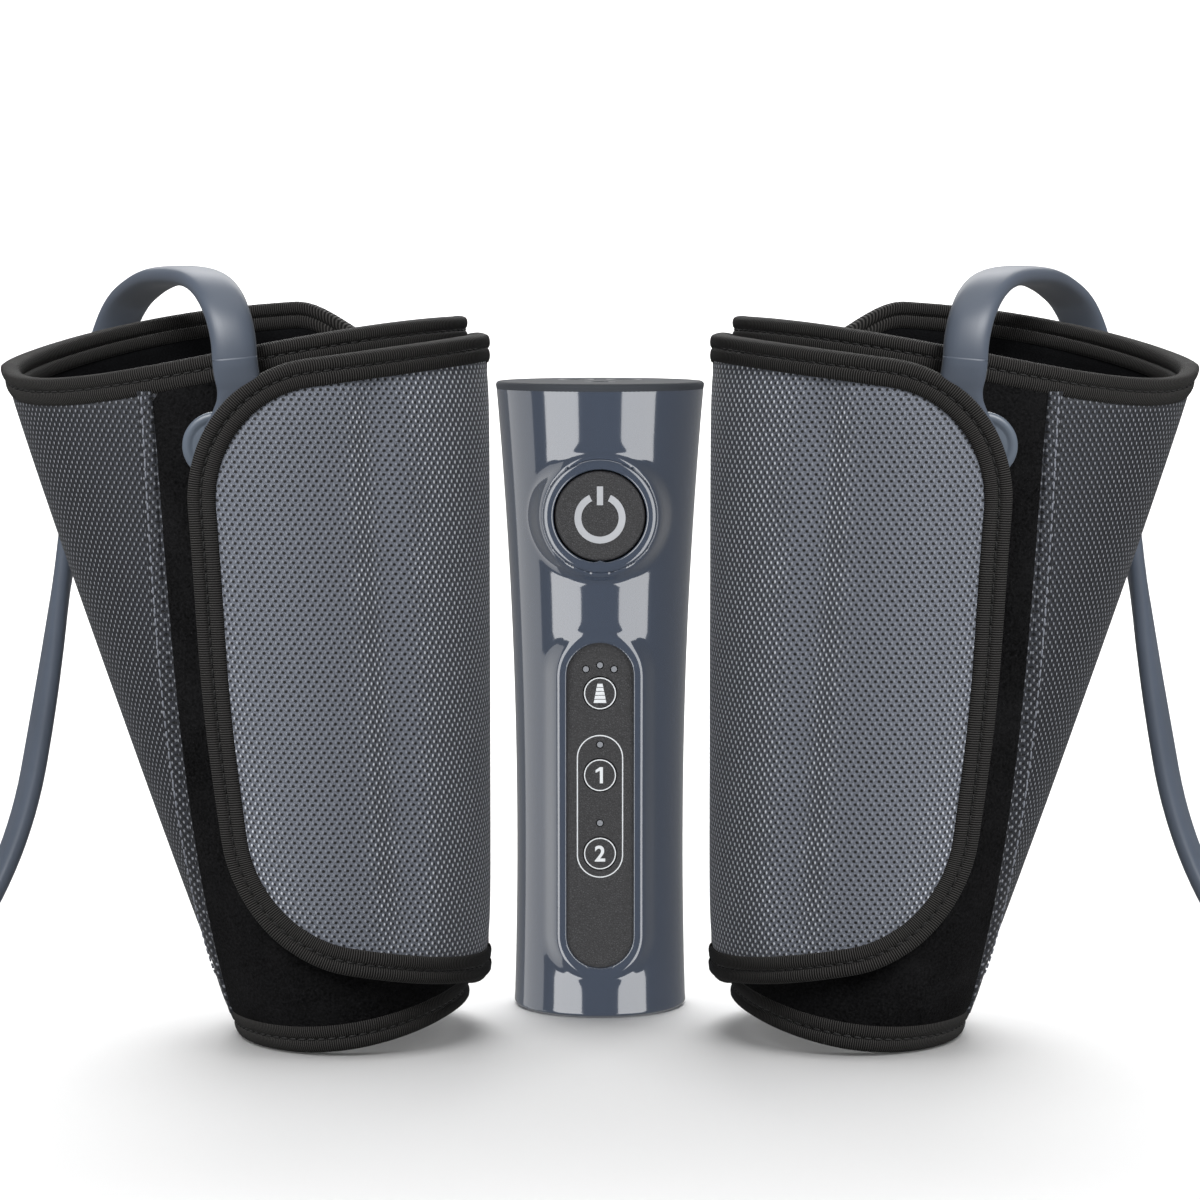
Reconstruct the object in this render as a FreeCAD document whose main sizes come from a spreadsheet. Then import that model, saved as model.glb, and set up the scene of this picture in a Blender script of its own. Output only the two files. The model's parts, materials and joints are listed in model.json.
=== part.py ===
"""Leg massager: a hand-held air-pump controller and a mirrored pair of calf wraps with air hoses.

Millimetres, +Z up. The front faces -Y. The controller stands upright between the two wraps, and
the origin is on the floor, in the middle of the set.
"""

import FreeCAD
import Part
import Sketcher
import math
import os

Vector = FreeCAD.Vector

# Driving dimensions, one spreadsheet cell each.
SIZES = {
    # Controller body
    "body_height": 195,
    "top_radius": 32.3,
    "waist_radius": 25.9,
    "waist_height": 52,
    "shell_wall": 2.2,
    "controller_y": 29.7,
    "base_thickness": 4,
    "cap_thickness": 2.4,
    "cap_skirt": 4,
    "edge_round": 1.2,
    "fit_gap": 0.15,
    "pad_radius": 21,
    "pad_thickness": 1.2,
    "pad_proud": 0.3,
    # Power button
    "button_height": 155,
    "button_radius": 14,
    "boss_radius": 20.5,
    "boss_proud": 1.6,
    "boss_depth": 11,
    "cutter_lead": 4,
    "bezel_width": 3.2,
    "bezel_depth": 2.4,
    "bezel_proud": 0.7,
    "button_sink": 0.5,
    "button_face": 1.5,
    "flange_width": 1.3,
    "flange_thickness": 1.4,
    "stem_radius": 3.2,
    "running_gap": 0.3,
    # Control panel and its keys
    "panel_half_width": 10.3,
    "panel_low": 25.8,
    "panel_high": 105.7,
    "panel_thickness": 1.8,
    "panel_sink": 0.9,
    "rim_width": 2.9,
    "rim_proud": 0.5,
    "rim_depth": 6,
    "key_radius": 5,
    "key_proud": 0.15,
    "key_flange": 1.1,
    "key_flange_depth": 0.9,
    "pressure_height": 100.4,
    "mode_1_height": 75.2,
    "mode_2_height": 51,
    "light_radius": 0.9,
    "level_light_height": 107.8,
    "level_light_rise": 1.2,
    "level_light_spacing": 4.3,
    "mode_light_rise": 9.4,
    # Circuit board
    "board_front": 15.4,
    "board_thickness": 1.6,
    "board_half_width": 10,
    "board_low": 20,
    "board_high": 170,
    "switch_side": 6,
    "switch_body": 3,
    "switch_actuator": 0.5,
    "actuator_radius": 1.7,
    "post_radius": 2.3,
    "post_x": 7.2,
    "post_low": 31,
    "post_high": 88,
    # Air pump
    "pump_offset": 8.5,
    "mount_radius": 14.3,
    "mount_thickness": 4,
    "motor_radius": 13,
    "motor_wall": 1.2,
    "motor_length": 34,
    "motor_end": 2,
    "shaft_radius": 1.2,
    "shaft_gap": 0.05,
    "armature_radius": 9.5,
    "armature_length": 24,
    "armature_clear": 3,
    "pump_radius": 14,
    "pump_floor": 3,
    "pump_cavity_radius": 11.5,
    "pump_cavity": 13,
    "crank_offset": 1.3,
    "crank_radius": 3.2,
    "crank_clear": 2,
    "plate_thickness": 3,
    "plate_radius": 10.5,
    "crank_play": 0.5,
    "diaphragm_thickness": 2,
    "cup_radius": 2.8,
    "cup_circle": 6.8,
    "cover_thickness": 6,
    "nipple_radius": 2.4,
    "nipple_length": 7,
    "tube_radius": 4,
    "tube_gap": 0.05,
    "tube_length": 18,
    # Valves and outlets
    "manifold_width": 30,
    "manifold_depth": 18,
    "manifold_height": 10,
    "valve_side": 12,
    "valve_height": 20,
    "valve_spacing": 15,
    "valve_back": 5.5,
    "valve_floor": 3,
    "plunger_radius": 2.5,
    "plunger_gap": 0.08,
    "plunger_seat": 0.3,
    "plunger_proud": 3,
    "outlet_offset": 13,
    "outlet_radius": 6,
    "outlet_bore": 4.2,
    "outlet_depth": 17.5,
    "outlet_floor": 3,
    "outlet_proud": 0.0,
    "outlet_tube_radius": 3.6,
    "jack_offset": 9,
    "jack_radius": 5,
    "jack_bore": 2.8,
    "jack_pin": 1,
    "jack_depth": 10,
    "jack_length": 16,
    # Housing screws
    "screw_x": 15.6,
    "screw_low": 75,
    "screw_high": 138,
    "screw_boss": 3.1,
    "screw_radius": 1.5,
    "screw_head": 2.6,
    "screw_head_depth": 2.2,
    "screw_bite": 9,
    "screw_sink": 5.5,
    # Calf wrap, left one, seen from the front; the right one is its mirror image
    "wrap_y": -14.3,
    "wrap_height": 222,
    "wrap_right": -40.1,
    "wrap_left_top": -186,
    "wrap_left_foot": -109,
    "wrap_half_depth_top": 40.4,
    "wrap_half_depth_foot": 40.4,
    "rim_left": 199.2,
    "rim_slope": 0.105,
    "rim_back_lift": 11,
    "rim_reach": 45,
    "foot_level": 0.13,
    "foot_flat_end": -95,
    "foot_bend_radius": 128,
    "foot_bend_width": 80,
    "cloth": 1,
    "bladder": 2,
    "layer_gap": 0.3,
    "binding_width": 8,
    "binding_proud": 0.6,
    "bladder_margin": 6,
    "inner_lap": 75,
    "lap_start": 180,
    "lap_end": 270,
    # Hook-and-loop closure
    "loop_pile": 0.8,
    "loop_left_top": -130,
    "loop_left_foot": -108,
    "loop_right": 12,
    "hook_height": 0.9,
    "hook_width": 16,
    "hook_clear": 0.4,
    "hook_first": -76,
    "hook_second": -50,
    "hook_foot": 40,
    "hook_head": 150,
    # Flap
    "flap_pad": 2,
    "flap_gap": 1.5,
    "flap_corner_x": -122.4,
    "flap_corner_z": 203.5,
    "flap_fold_top": 210.5,
    "flap_foot_x": -106.7,
    "flap_foot_z": 31,
    "flap_fold_foot": 16,
    "flap_top_radius": 42,
    "flap_foot_radius": 44,
    # Hose, its fitting on the wrap and its plug
    "fitting_x": -110.5,
    "fitting_z": 179,
    "flange_radius": 9.5,
    "flange_height": 1.2,
    "fitting_stem_width": 13,
    "fitting_stem_height": 3.6,
    "fitting_stem_top": 203.5,
    "stem_lean": 5.5,
    "relief": 0.5,
    "hose_width": 13,
    "hose_thickness": 6,
    "plug_width": 17,
    "plug_height": 11,
    "plug_length": 26,
    "plug_nose_radius": 4,
    "plug_nose_length": 14,
}

# The left hose's route: from the fitting, over the rim, down behind the wrap and round on the floor.
# Y counts from the middle of the wrap.
HOSE_ROUTE = [
    (-105.0, -44.9, 203.5),
    (-105.0, -44.9, 208.5),
    (-107.0, -41.5, 216.8),
    (-110.5, -34.0, 223.0),
    (-115.5, -22.5, 226.8),
    (-123.0, -4.0, 228.0),
    (-136.0, 24.0, 227.0),
    (-150.5, 54.0, 216.5),
    (-159.0, 58.0, 184.0),
    (-168.0, 55.0, 138.6),
    (-173.5, 52.5, 98.0),
    (-182.0, 48.0, 50.0),
    (-204.0, 38.0, 10.0),
    (-242.0, 22.0, 3.1),
    (-286.0, 11.0, 3.1),
    (-326.0, 11.0, 3.1),
    (-360.0, 19.0, 3.1),
    (-388.0, 30.0, 3.1),
]

doc = FreeCAD.newDocument("leg_massager")
sheet = doc.addObject("Spreadsheet::Sheet", "sizes")
for row, (alias, value) in enumerate(SIZES.items(), start=1):
    sheet.set(f"A{row}", alias)
    sheet.set(f"B{row}", str(value))
    sheet.setAlias(f"B{row}", alias)
doc.recompute()


def size(alias):
    """One driving dimension, read from its cell."""
    return float(sheet.get(alias))


def value(expression):
    """What an expression on the spreadsheet's cells comes to."""
    return float(sheet.evalExpression(expression))


def bind(thing, **expressions):
    """Binds properties to expressions; two underscores in a name stand for a dot."""
    for name, expression in expressions.items():
        thing.setExpression(name.replace("__", "."), expression)
    return thing


def cells(words):
    """Turns a short expression of cell names into one that names the spreadsheet."""
    for alias in sorted(SIZES, key=len, reverse=True):
        words = words.replace(f"[{alias}]", f"sizes.{alias}")
    return words


# Turns that point a primitive's own Z axis along the row's axes.
TURNS = {
    "Z": FreeCAD.Rotation(),
    "-Y": FreeCAD.Rotation(Vector(1, 0, 0), 90),
    "Y": FreeCAD.Rotation(Vector(1, 0, 0), -90),
}


def place(thing, x, y, z, axis="Z"):
    """Puts a primitive at a point given by expressions, pointing along an axis."""
    thing.Placement = FreeCAD.Placement(Vector(), TURNS[axis])
    base = {"Placement__Base__" + way: cells(words) for way, words in (("x", x), ("y", y), ("z", z))}
    return bind(thing, **base)


def cylinder(name, radius, length, x="0", y="0", z="0", axis="Z"):
    made = doc.addObject("Part::Cylinder", name)
    bind(made, Radius=cells(radius), Height=cells(length))
    return place(made, x, y, z, axis)


def box(name, width, depth, height, x, y, z):
    """A box from its low corner."""
    made = doc.addObject("Part::Box", name)
    bind(made, Length=cells(width), Width=cells(depth), Height=cells(height))
    return place(made, x, y, z)


def fuse(name, *pieces):
    made = doc.addObject("Part::MultiFuse", name)
    made.Shapes = list(pieces)
    made.Refine = True
    return made


def cut(name, base, *tools):
    made = doc.addObject("Part::Cut", name)
    made.Base = base
    made.Tool = tools[0] if len(tools) == 1 else fuse(name + "_tools", *tools)
    made.Refine = True
    return made


def group(name, *solids):
    """Several like solids that share one node."""
    made = doc.addObject("Part::Compound", name)
    made.Links = list(solids)
    return made


def forward(distance):
    """The Y place of a point that far in front of the controller's axis."""
    return f"[controller_y]-({distance})"


def peg(name, radius, front, depth, z, x="0"):
    """A round piece whose front face is that far in front of the controller's axis, back along +Y."""
    return cylinder(name, radius, depth, x, forward(front), z, "Y")


def slot(name, half_width, low, high, front, depth):
    """An upright slot with round ends, from its front face back along +Y."""
    core = box(
        name + "_core",
        f"2*({half_width})",
        depth,
        f"{high}-{low}",
        f"-({half_width})",
        f"[controller_y]-({front})",
        low,
    )
    ends = [
        cylinder(f"{name}_end_{i}", half_width, depth, "0", f"[controller_y]-({front})", z, "Y")
        for i, z in enumerate((low, high))
    ]
    return fuse(name, core, *ends)


def arc_between(start, end, radius):
    """The short arc between two points. A positive radius turns left on the way from start to end."""
    middle = (start + end) * 0.5
    along = end - start
    left = Vector(-along.y, along.x, 0).normalize()
    rise = math.sqrt(max(radius * radius - along.Length * along.Length / 4, 0))
    centre = middle + left * (rise if radius > 0 else -rise)
    first, last = (start, end) if radius > 0 else (end, start)
    angles = [math.atan2(p.y - centre.y, p.x - centre.x) for p in (first, last)]
    circle = Part.Circle(centre, Vector(0, 0, 1), abs(radius))
    return Part.ArcOfCircle(circle, *angles)


def revolved(name, corners, arcs=None, angle=360, flipped=False):
    """A body turned about the controller's axis from a closed profile of (radius, height) corners.

    arcs gives the radius of each side that is an arc, by the number of its first corner.
    """
    arcs = arcs or {}
    body = doc.addObject("PartDesign::Body", name)
    sketch = body.newObject("Sketcher::SketchObject", name + "_profile")
    plane = next(f for f in body.Origin.OriginFeatures if f.Role == "XZ_Plane")
    sketch.AttachmentSupport = [(plane, "")]
    sketch.MapMode = "FlatFace"
    corners = [(cells(x), cells(z)) for x, z in corners]
    points = [Vector(value(x), value(z), 0) for x, z in corners]
    ends = []
    for i, start in enumerate(points):
        end = points[(i + 1) % len(points)]
        if i in arcs:
            radius = value(cells(arcs[i]))
            number = sketch.addGeometry(arc_between(start, end, radius))
            ends.append((number, 1, 2) if radius > 0 else (number, 2, 1))
            held = sketch.addConstraint(Sketcher.Constraint("Radius", number, abs(radius)))
            sketch.renameConstraint(held, f"arc_{i}")
            sketch.setExpression(f"Constraints.arc_{i}", f"abs({cells(arcs[i])})")
        else:
            ends.append((sketch.addGeometry(Part.LineSegment(start, end)), 1, 2))
    for i, (x, z) in enumerate(corners):
        number, first, _ = ends[i]
        before, _, last = ends[i - 1]
        sketch.addConstraint(Sketcher.Constraint("Coincident", before, last, number, first))
        for kind, word, axis_line in (("DistanceX", x, -2), ("DistanceY", z, -1)):
            if word == "0":
                sketch.addConstraint(Sketcher.Constraint("PointOnObject", number, first, axis_line))
                continue
            held = sketch.addConstraint(Sketcher.Constraint(kind, -1, 1, number, first, value(word)))
            sketch.renameConstraint(held, f"{kind}_{i}")
            sketch.setExpression(f"Constraints.{kind}_{i}", word)
    turn = body.newObject("PartDesign::Revolution", name + "_turn")
    turn.Profile = sketch
    turn.ReferenceAxis = (sketch, ["V_Axis"])
    turn.Angle = angle
    turn.Reversed = flipped
    body.Tip = turn
    bind(body, Placement__Base__y=cells("[controller_y]"))
    return body


# The controller's side is one long arc with its waist part of the way up.
FLARE_RISE = "([body_height]-[waist_height])"
FLARE_OUT = "([top_radius]-[waist_radius])"
FLARE = cells(f"(({FLARE_RISE}^2+{FLARE_OUT}^2)/(2*{FLARE_OUT}))")


def radius_at(height):
    """The controller's outer radius at a height, as an expression."""
    return cells(f"([waist_radius]+{FLARE}-sqrt({FLARE}^2-({height}-[waist_height])^2))")


nodes = {}


def node(name, thing):
    """Names a finished sub-part."""
    thing.Label = name
    nodes[name] = thing
    return thing


# Controller shells: two half shells that meet at the sides
SHELL_LOW = "[base_thickness]"
SHELL_HIGH = "([body_height]-[cap_thickness])"
shell_profile = [
    (radius_at(SHELL_LOW), SHELL_LOW),
    (radius_at(SHELL_HIGH), SHELL_HIGH),
    (f"{radius_at(SHELL_HIGH)}-[shell_wall]", SHELL_HIGH),
    (f"{radius_at(SHELL_LOW)}-[shell_wall]", SHELL_LOW),
]
shell_arcs = {0: f"-{FLARE}", 2: f"({FLARE}+[shell_wall])"}
front_half = revolved("front_half", shell_profile, shell_arcs, 180, True)
rear_half = revolved("rear_half", shell_profile, shell_arcs, 180, False)

BOSS_FRONT = f"({radius_at('[button_height]')}+[boss_proud])"
BEZEL_SEAT = f"({BOSS_FRONT}-[bezel_depth]+[bezel_proud])"
BEZEL_RADIUS = "([button_radius]+[running_gap]+[bezel_width])"
RIM_FRONT = "([waist_radius]+[rim_proud])"
RIM_HALF_WIDTH = "([panel_half_width]+[rim_width])"
PANEL_FRONT = f"({RIM_FRONT}-[panel_sink])"
PANEL_FLOOR = f"({PANEL_FRONT}-[panel_thickness])"
RIM_BACK = f"({RIM_FRONT}-[rim_depth])"
KEY_HEIGHTS = {
    "pressure_key": "[pressure_height]",
    "mode_1_key": "[mode_1_height]",
    "mode_2_key": "[mode_2_height]",
}
LIGHTS = [
    ("-[level_light_spacing]", "[level_light_height]"),
    ("0", "[level_light_height]+[level_light_rise]"),
    ("[level_light_spacing]", "[level_light_height]"),
    ("0", "[mode_1_height]+[mode_light_rise]"),
    ("0", "[mode_2_height]+[mode_light_rise]"),
]
SCREW_SPOTS = [(x, z) for x in ("-[screw_x]", "[screw_x]") for z in ("[screw_low]", "[screw_high]")]
SCREW_TIP = "[screw_bite]"


def wall_depth(height, inset):
    """How far from the side seam the shell's wall lies at the screws, inset from its outside."""
    return f"sqrt(({radius_at(height)}-{inset})^2-[screw_x]^2)"


def panel_holes(name, radius_extra, front, depth):
    """The holes that the keys and lights pass through."""
    keys = [
        peg(f"{name}_{key}", f"[key_radius]+{radius_extra}", front, depth, z)
        for key, z in KEY_HEIGHTS.items()
    ]
    lights = [
        peg(f"{name}_light_{i}", f"[light_radius]+{radius_extra}", front, depth, z, x)
        for i, (x, z) in enumerate(LIGHTS)
    ]
    return keys + lights


# Front shell: button boss, raised panel rim, board posts and screw bosses
front_solid = fuse(
    "front_solid",
    front_half,
    peg("button_boss", "[boss_radius]", BOSS_FRONT, "[boss_depth]", "[button_height]"),
    slot("panel_rim", RIM_HALF_WIDTH, "[panel_low]", "[panel_high]", RIM_FRONT, "[rim_depth]"),
    *[
        peg(
            f"board_post_{i}",
            "[post_radius]",
            f"{RIM_BACK}+[fit_gap]",
            f"{RIM_BACK}-[board_front]+[fit_gap]",
            z,
            x,
        )
        for i, (x, z) in enumerate(
            (x, z) for x in ("-[post_x]", "[post_x]") for z in ("[post_low]", "[post_high]")
        )
    ],
    *[
        cylinder(
            f"front_screw_boss_{i}",
            "[screw_boss]",
            wall_depth(z, "[shell_wall]/2"),
            x,
            forward("0"),
            z,
            "-Y",
        )
        for i, (x, z) in enumerate(SCREW_SPOTS)
    ],
)
front_shell = cut(
    "front_shell_cut",
    front_solid,
    peg(
        "button_bore",
        "[button_radius]+[flange_width]+2*[running_gap]",
        f"{BOSS_FRONT}+[cutter_lead]",
        "[boss_depth]+[cutter_lead]",
        "[button_height]",
    ),
    peg(
        "bezel_pocket",
        f"{BEZEL_RADIUS}+[fit_gap]",
        f"{BOSS_FRONT}+[cutter_lead]",
        f"{BOSS_FRONT}-{BEZEL_SEAT}+[cutter_lead]",
        "[button_height]",
    ),
    slot(
        "panel_pocket",
        "[panel_half_width]+[fit_gap]",
        "[panel_low]",
        "[panel_high]",
        f"{RIM_FRONT}+[cutter_lead]",
        f"{RIM_FRONT}-{PANEL_FLOOR}+[cutter_lead]",
    ),
    *panel_holes("floor_hole", "[running_gap]", RIM_FRONT, "[rim_depth]"),
    *[
        cylinder(f"screw_hole_{i}", "[screw_radius]+[fit_gap]", SCREW_TIP, x, forward("0"), z, "-Y")
        for i, (x, z) in enumerate(SCREW_SPOTS)
    ],
)
node("front_shell", front_shell)

# Rear shell: screw bosses with sunk seats
rear_solid = fuse(
    "rear_solid",
    rear_half,
    *[
        peg(
            f"rear_screw_boss_{i}",
            "[screw_boss]+[shell_wall]/2",
            "0",
            wall_depth(z, "[shell_wall]/2"),
            z,
            x,
        )
        for i, (x, z) in enumerate(SCREW_SPOTS)
    ],
)
rear_shell = cut(
    "rear_shell_cut",
    rear_solid,
    *[
        tool
        for i, (x, z) in enumerate(SCREW_SPOTS)
        for tool in (
            peg(f"screw_way_{i}", "[screw_radius]+[fit_gap]", "0", "[top_radius]", z, x),
            peg(
                f"screw_seat_{i}",
                "[screw_head]+[fit_gap]",
                f"-({wall_depth(z, '0')}-[screw_sink])",
                "[top_radius]",
                z,
                x,
            ),
        )
    ],
)
node("rear_shell", rear_shell)
screws = [
    fuse(
        f"housing_screw_{i}",
        peg(
            f"screw_shank_{i}",
            "[screw_radius]",
            f"{SCREW_TIP}-[running_gap]",
            f"{wall_depth(z, '0')}-[screw_sink]+{SCREW_TIP}-[running_gap]",
            z,
            x,
        ),
        peg(
            f"screw_head_{i}",
            "[screw_head]",
            f"-({wall_depth(z, '0')}-[screw_sink])",
            "[screw_head_depth]",
            z,
            x,
        ),
    )
    for i, (x, z) in enumerate(SCREW_SPOTS)
]
node("housing_screws", group("housing_screw_set", *screws))

# End caps and foot pad
base_body = revolved(
    "base_body",
    [
        ("0", "[pad_proud]"),
        (f"{radius_at('0')}-[edge_round]", "[pad_proud]"),
        (radius_at("0"), "[pad_proud]+[edge_round]"),
        (radius_at(SHELL_LOW), SHELL_LOW),
        ("0", SHELL_LOW),
    ],
    {1: "[edge_round]"},
)
pad_seat = cylinder(
    "pad_seat", "[pad_radius]+[fit_gap]", "[pad_thickness]-[pad_proud]", "0", forward("0"), "[pad_proud]"
)
node("base_cap", cut("base_cap_cut", base_body, pad_seat))
node("base_pad", cylinder("base_pad_disc", "[pad_radius]", "[pad_thickness]", "0", forward("0"), "0"))

cap_body = revolved(
    "cap_body",
    [
        ("0", f"{SHELL_HIGH}-[cap_skirt]"),
        (f"{radius_at(SHELL_HIGH)}-[shell_wall]-[fit_gap]-[cap_skirt]/12", f"{SHELL_HIGH}-[cap_skirt]"),
        (f"{radius_at(SHELL_HIGH)}-[shell_wall]-[fit_gap]", SHELL_HIGH),
        (radius_at(SHELL_HIGH), SHELL_HIGH),
        ("[top_radius]", "[body_height]-[edge_round]"),
        ("[top_radius]-[edge_round]", "[body_height]"),
        ("0", "[body_height]"),
    ],
    {4: "[edge_round]"},
)
OUTLET_SPOTS = [(x, forward("-[outlet_offset]")) for x in ("-[valve_spacing]/2", "[valve_spacing]/2")]
cap_holes = [
    cylinder(
        f"outlet_hole_{i}",
        "[outlet_radius]+[fit_gap]",
        "2*[cap_skirt]+[cap_thickness]",
        x,
        y,
        f"{SHELL_HIGH}-[cap_skirt]",
    )
    for i, (x, y) in enumerate(OUTLET_SPOTS)
]
jack_hole = cylinder(
    "jack_hole",
    "[jack_radius]+[fit_gap]",
    "2*[cap_skirt]+[cap_thickness]",
    "0",
    forward("[jack_offset]"),
    f"{SHELL_HIGH}-[cap_skirt]",
)
node("top_cap", cut("top_cap_cut", cap_body, jack_hole, *cap_holes))

# Power button and its bezel
node(
    "button_bezel",
    cut(
        "bezel_ring",
        peg(
            "bezel_disc",
            BEZEL_RADIUS,
            f"{BOSS_FRONT}+[bezel_proud]",
            "[bezel_depth]",
            "[button_height]",
        ),
        peg(
            "bezel_bore",
            "[button_radius]+[running_gap]",
            f"{BOSS_FRONT}+[bezel_proud]",
            "[bezel_depth]",
            "[button_height]",
        ),
    ),
)
BUTTON_FRONT = f"({BOSS_FRONT}+[bezel_proud]-[button_sink])"
BUTTON_FLANGE = f"({BEZEL_SEAT}-[running_gap])"
SWITCH_TOP = "([board_front]+[switch_body]+[switch_actuator])"
KEY_BACK = f"({SWITCH_TOP}+2*[running_gap])"
node(
    "power_button",
    fuse(
        "power_button_solid",
        peg(
            "button_disc",
            "[button_radius]",
            BUTTON_FRONT,
            f"{BUTTON_FRONT}-{BUTTON_FLANGE}",
            "[button_height]",
        ),
        peg(
            "button_flange",
            "[button_radius]+[flange_width]",
            BUTTON_FLANGE,
            "[flange_thickness]",
            "[button_height]",
        ),
        peg(
            "button_stem",
            "[stem_radius]",
            BUTTON_FLANGE,
            f"{BUTTON_FLANGE}-{KEY_BACK}",
            "[button_height]",
        ),
    ),
)

# Control panel, keys and indicator lights
node(
    "control_panel",
    cut(
        "panel_plate",
        slot(
            "panel_slot",
            "[panel_half_width]",
            "[panel_low]",
            "[panel_high]",
            PANEL_FRONT,
            "[panel_thickness]",
        ),
        *panel_holes("panel_hole", "[running_gap]", PANEL_FRONT, "[panel_thickness]"),
    ),
)
for key, z in KEY_HEIGHTS.items():
    node(
        key,
        fuse(
            key + "_solid",
            peg(
                key + "_cap",
                "[key_radius]",
                f"{PANEL_FRONT}+[key_proud]",
                f"{PANEL_FRONT}+[key_proud]-{KEY_BACK}",
                z,
            ),
            peg(
                key + "_flange",
                "[key_radius]+[key_flange]",
                f"{RIM_BACK}-[fit_gap]",
                f"{RIM_BACK}-[fit_gap]-{KEY_BACK}",
                z,
            ),
        ),
    )
node(
    "indicator_lights",
    group(
        "indicator_light_set",
        *[
            peg(f"light_pipe_{i}", "[light_radius]", PANEL_FRONT, f"{PANEL_FRONT}-[board_front]", z, x)
            for i, (x, z) in enumerate(LIGHTS)
        ],
    ),
)

# Circuit board and its switches
node(
    "circuit_board",
    box(
        "board_plate",
        "2*[board_half_width]",
        "[board_thickness]",
        "[board_high]-[board_low]",
        "-[board_half_width]",
        forward("[board_front]"),
        "[board_low]",
    ),
)
switches = [
    fuse(
        f"tact_switch_{i}",
        box(
            f"switch_body_{i}",
            "[switch_side]",
            "[switch_body]",
            "[switch_side]",
            "-[switch_side]/2",
            forward("[board_front]+[switch_body]"),
            f"{z}-[switch_side]/2",
        ),
        peg(f"switch_actuator_{i}", "[actuator_radius]", SWITCH_TOP, "[switch_actuator]", z),
    )
    for i, z in enumerate([*KEY_HEIGHTS.values(), "[button_height]"])
]
node("tact_switches", group("tact_switch_set", *switches))

# Air pump, stacked on the base: mount, motor, crank case, diaphragm and cover
PUMP_Y = forward("-[pump_offset]")
MOTOR_LOW = "([base_thickness]+[mount_thickness])"
MOTOR_HIGH = f"({MOTOR_LOW}+[motor_length])"
CAVITY_LOW = f"({MOTOR_HIGH}+[pump_floor])"
CAVITY_HIGH = f"({CAVITY_LOW}+[pump_cavity])"
COVER_LOW = f"({CAVITY_HIGH}+[diaphragm_thickness])"
COVER_HIGH = f"({COVER_LOW}+[cover_thickness])"
CRANK_LOW = f"({CAVITY_LOW}+[crank_clear])"
CRANK_HIGH = f"({CRANK_LOW}+[plate_thickness])"
BEARING = "[shaft_radius]+[shaft_gap]"


def on_pump(name, radius, low, length):
    """A round piece on the pump's axis."""
    return cylinder(name, radius, length, "0", PUMP_Y, low)


node("pump_mount", on_pump("pump_mount_disc", "[mount_radius]", "[base_thickness]", "[mount_thickness]"))
node(
    "pump_motor",
    cut(
        "motor_can",
        on_pump("motor_outside", "[motor_radius]", MOTOR_LOW, "[motor_length]"),
        on_pump(
            "motor_inside",
            "[motor_radius]-[motor_wall]",
            f"{MOTOR_LOW}+[motor_end]",
            "[motor_length]",
        ),
        on_pump("motor_bearing", BEARING, MOTOR_LOW, "[motor_end]"),
    ),
)
node(
    "pump_rotor",
    fuse(
        "rotor_solid",
        on_pump(
            "rotor_shaft",
            "[shaft_radius]",
            f"{MOTOR_LOW}+[running_gap]",
            f"{CRANK_HIGH}-{MOTOR_LOW}-2*[running_gap]",
        ),
        on_pump(
            "rotor_armature",
            "[armature_radius]",
            f"{MOTOR_LOW}+[motor_end]+[armature_clear]",
            "[armature_length]",
        ),
        cylinder(
            "rotor_crank",
            "[crank_radius]",
            "[plate_thickness]-[running_gap]",
            "[crank_offset]",
            PUMP_Y,
            CRANK_LOW,
        ),
    ),
)
node(
    "pump_body",
    cut(
        "crank_case",
        on_pump("case_outside", "[pump_radius]", MOTOR_HIGH, "[pump_floor]+[pump_cavity]"),
        on_pump("case_inside", "[pump_cavity_radius]", CAVITY_LOW, "[pump_cavity]"),
        on_pump("case_bearing", BEARING, MOTOR_HIGH, "[pump_floor]"),
    ),
)
node(
    "wobble_plate",
    cut(
        "wobble_ring",
        on_pump("wobble_disc", "[plate_radius]", CRANK_LOW, "[plate_thickness]"),
        on_pump(
            "wobble_bore",
            "[crank_radius]+[crank_offset]+[crank_play]",
            CRANK_LOW,
            "[plate_thickness]",
        ),
    ),
)
cups = [
    cylinder(
        f"diaphragm_cup_{i}",
        "[cup_radius]",
        f"{CAVITY_HIGH}-{CRANK_HIGH}",
        f"[cup_circle]*cos({i}*120)",
        f"{PUMP_Y}+[cup_circle]*sin({i}*120)",
        CRANK_HIGH,
    )
    for i in range(3)
]
node(
    "pump_diaphragm",
    fuse(
        "diaphragm_solid",
        on_pump("diaphragm_disc", "[pump_radius]", CAVITY_HIGH, "[diaphragm_thickness]"),
        *cups,
    ),
)
node(
    "pump_cover",
    fuse(
        "pump_cover_solid",
        on_pump("cover_disc", "[pump_radius]", COVER_LOW, "[cover_thickness]"),
        on_pump("cover_nipple", "[nipple_radius]", COVER_HIGH, "[nipple_length]"),
    ),
)
node(
    "pump_tube",
    cut(
        "pump_tube_pipe",
        on_pump("pump_tube_outside", "[tube_radius]", COVER_HIGH, "[tube_length]"),
        on_pump("pump_tube_inside", "[nipple_radius]+[tube_gap]", COVER_HIGH, "[tube_length]"),
    ),
)

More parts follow.
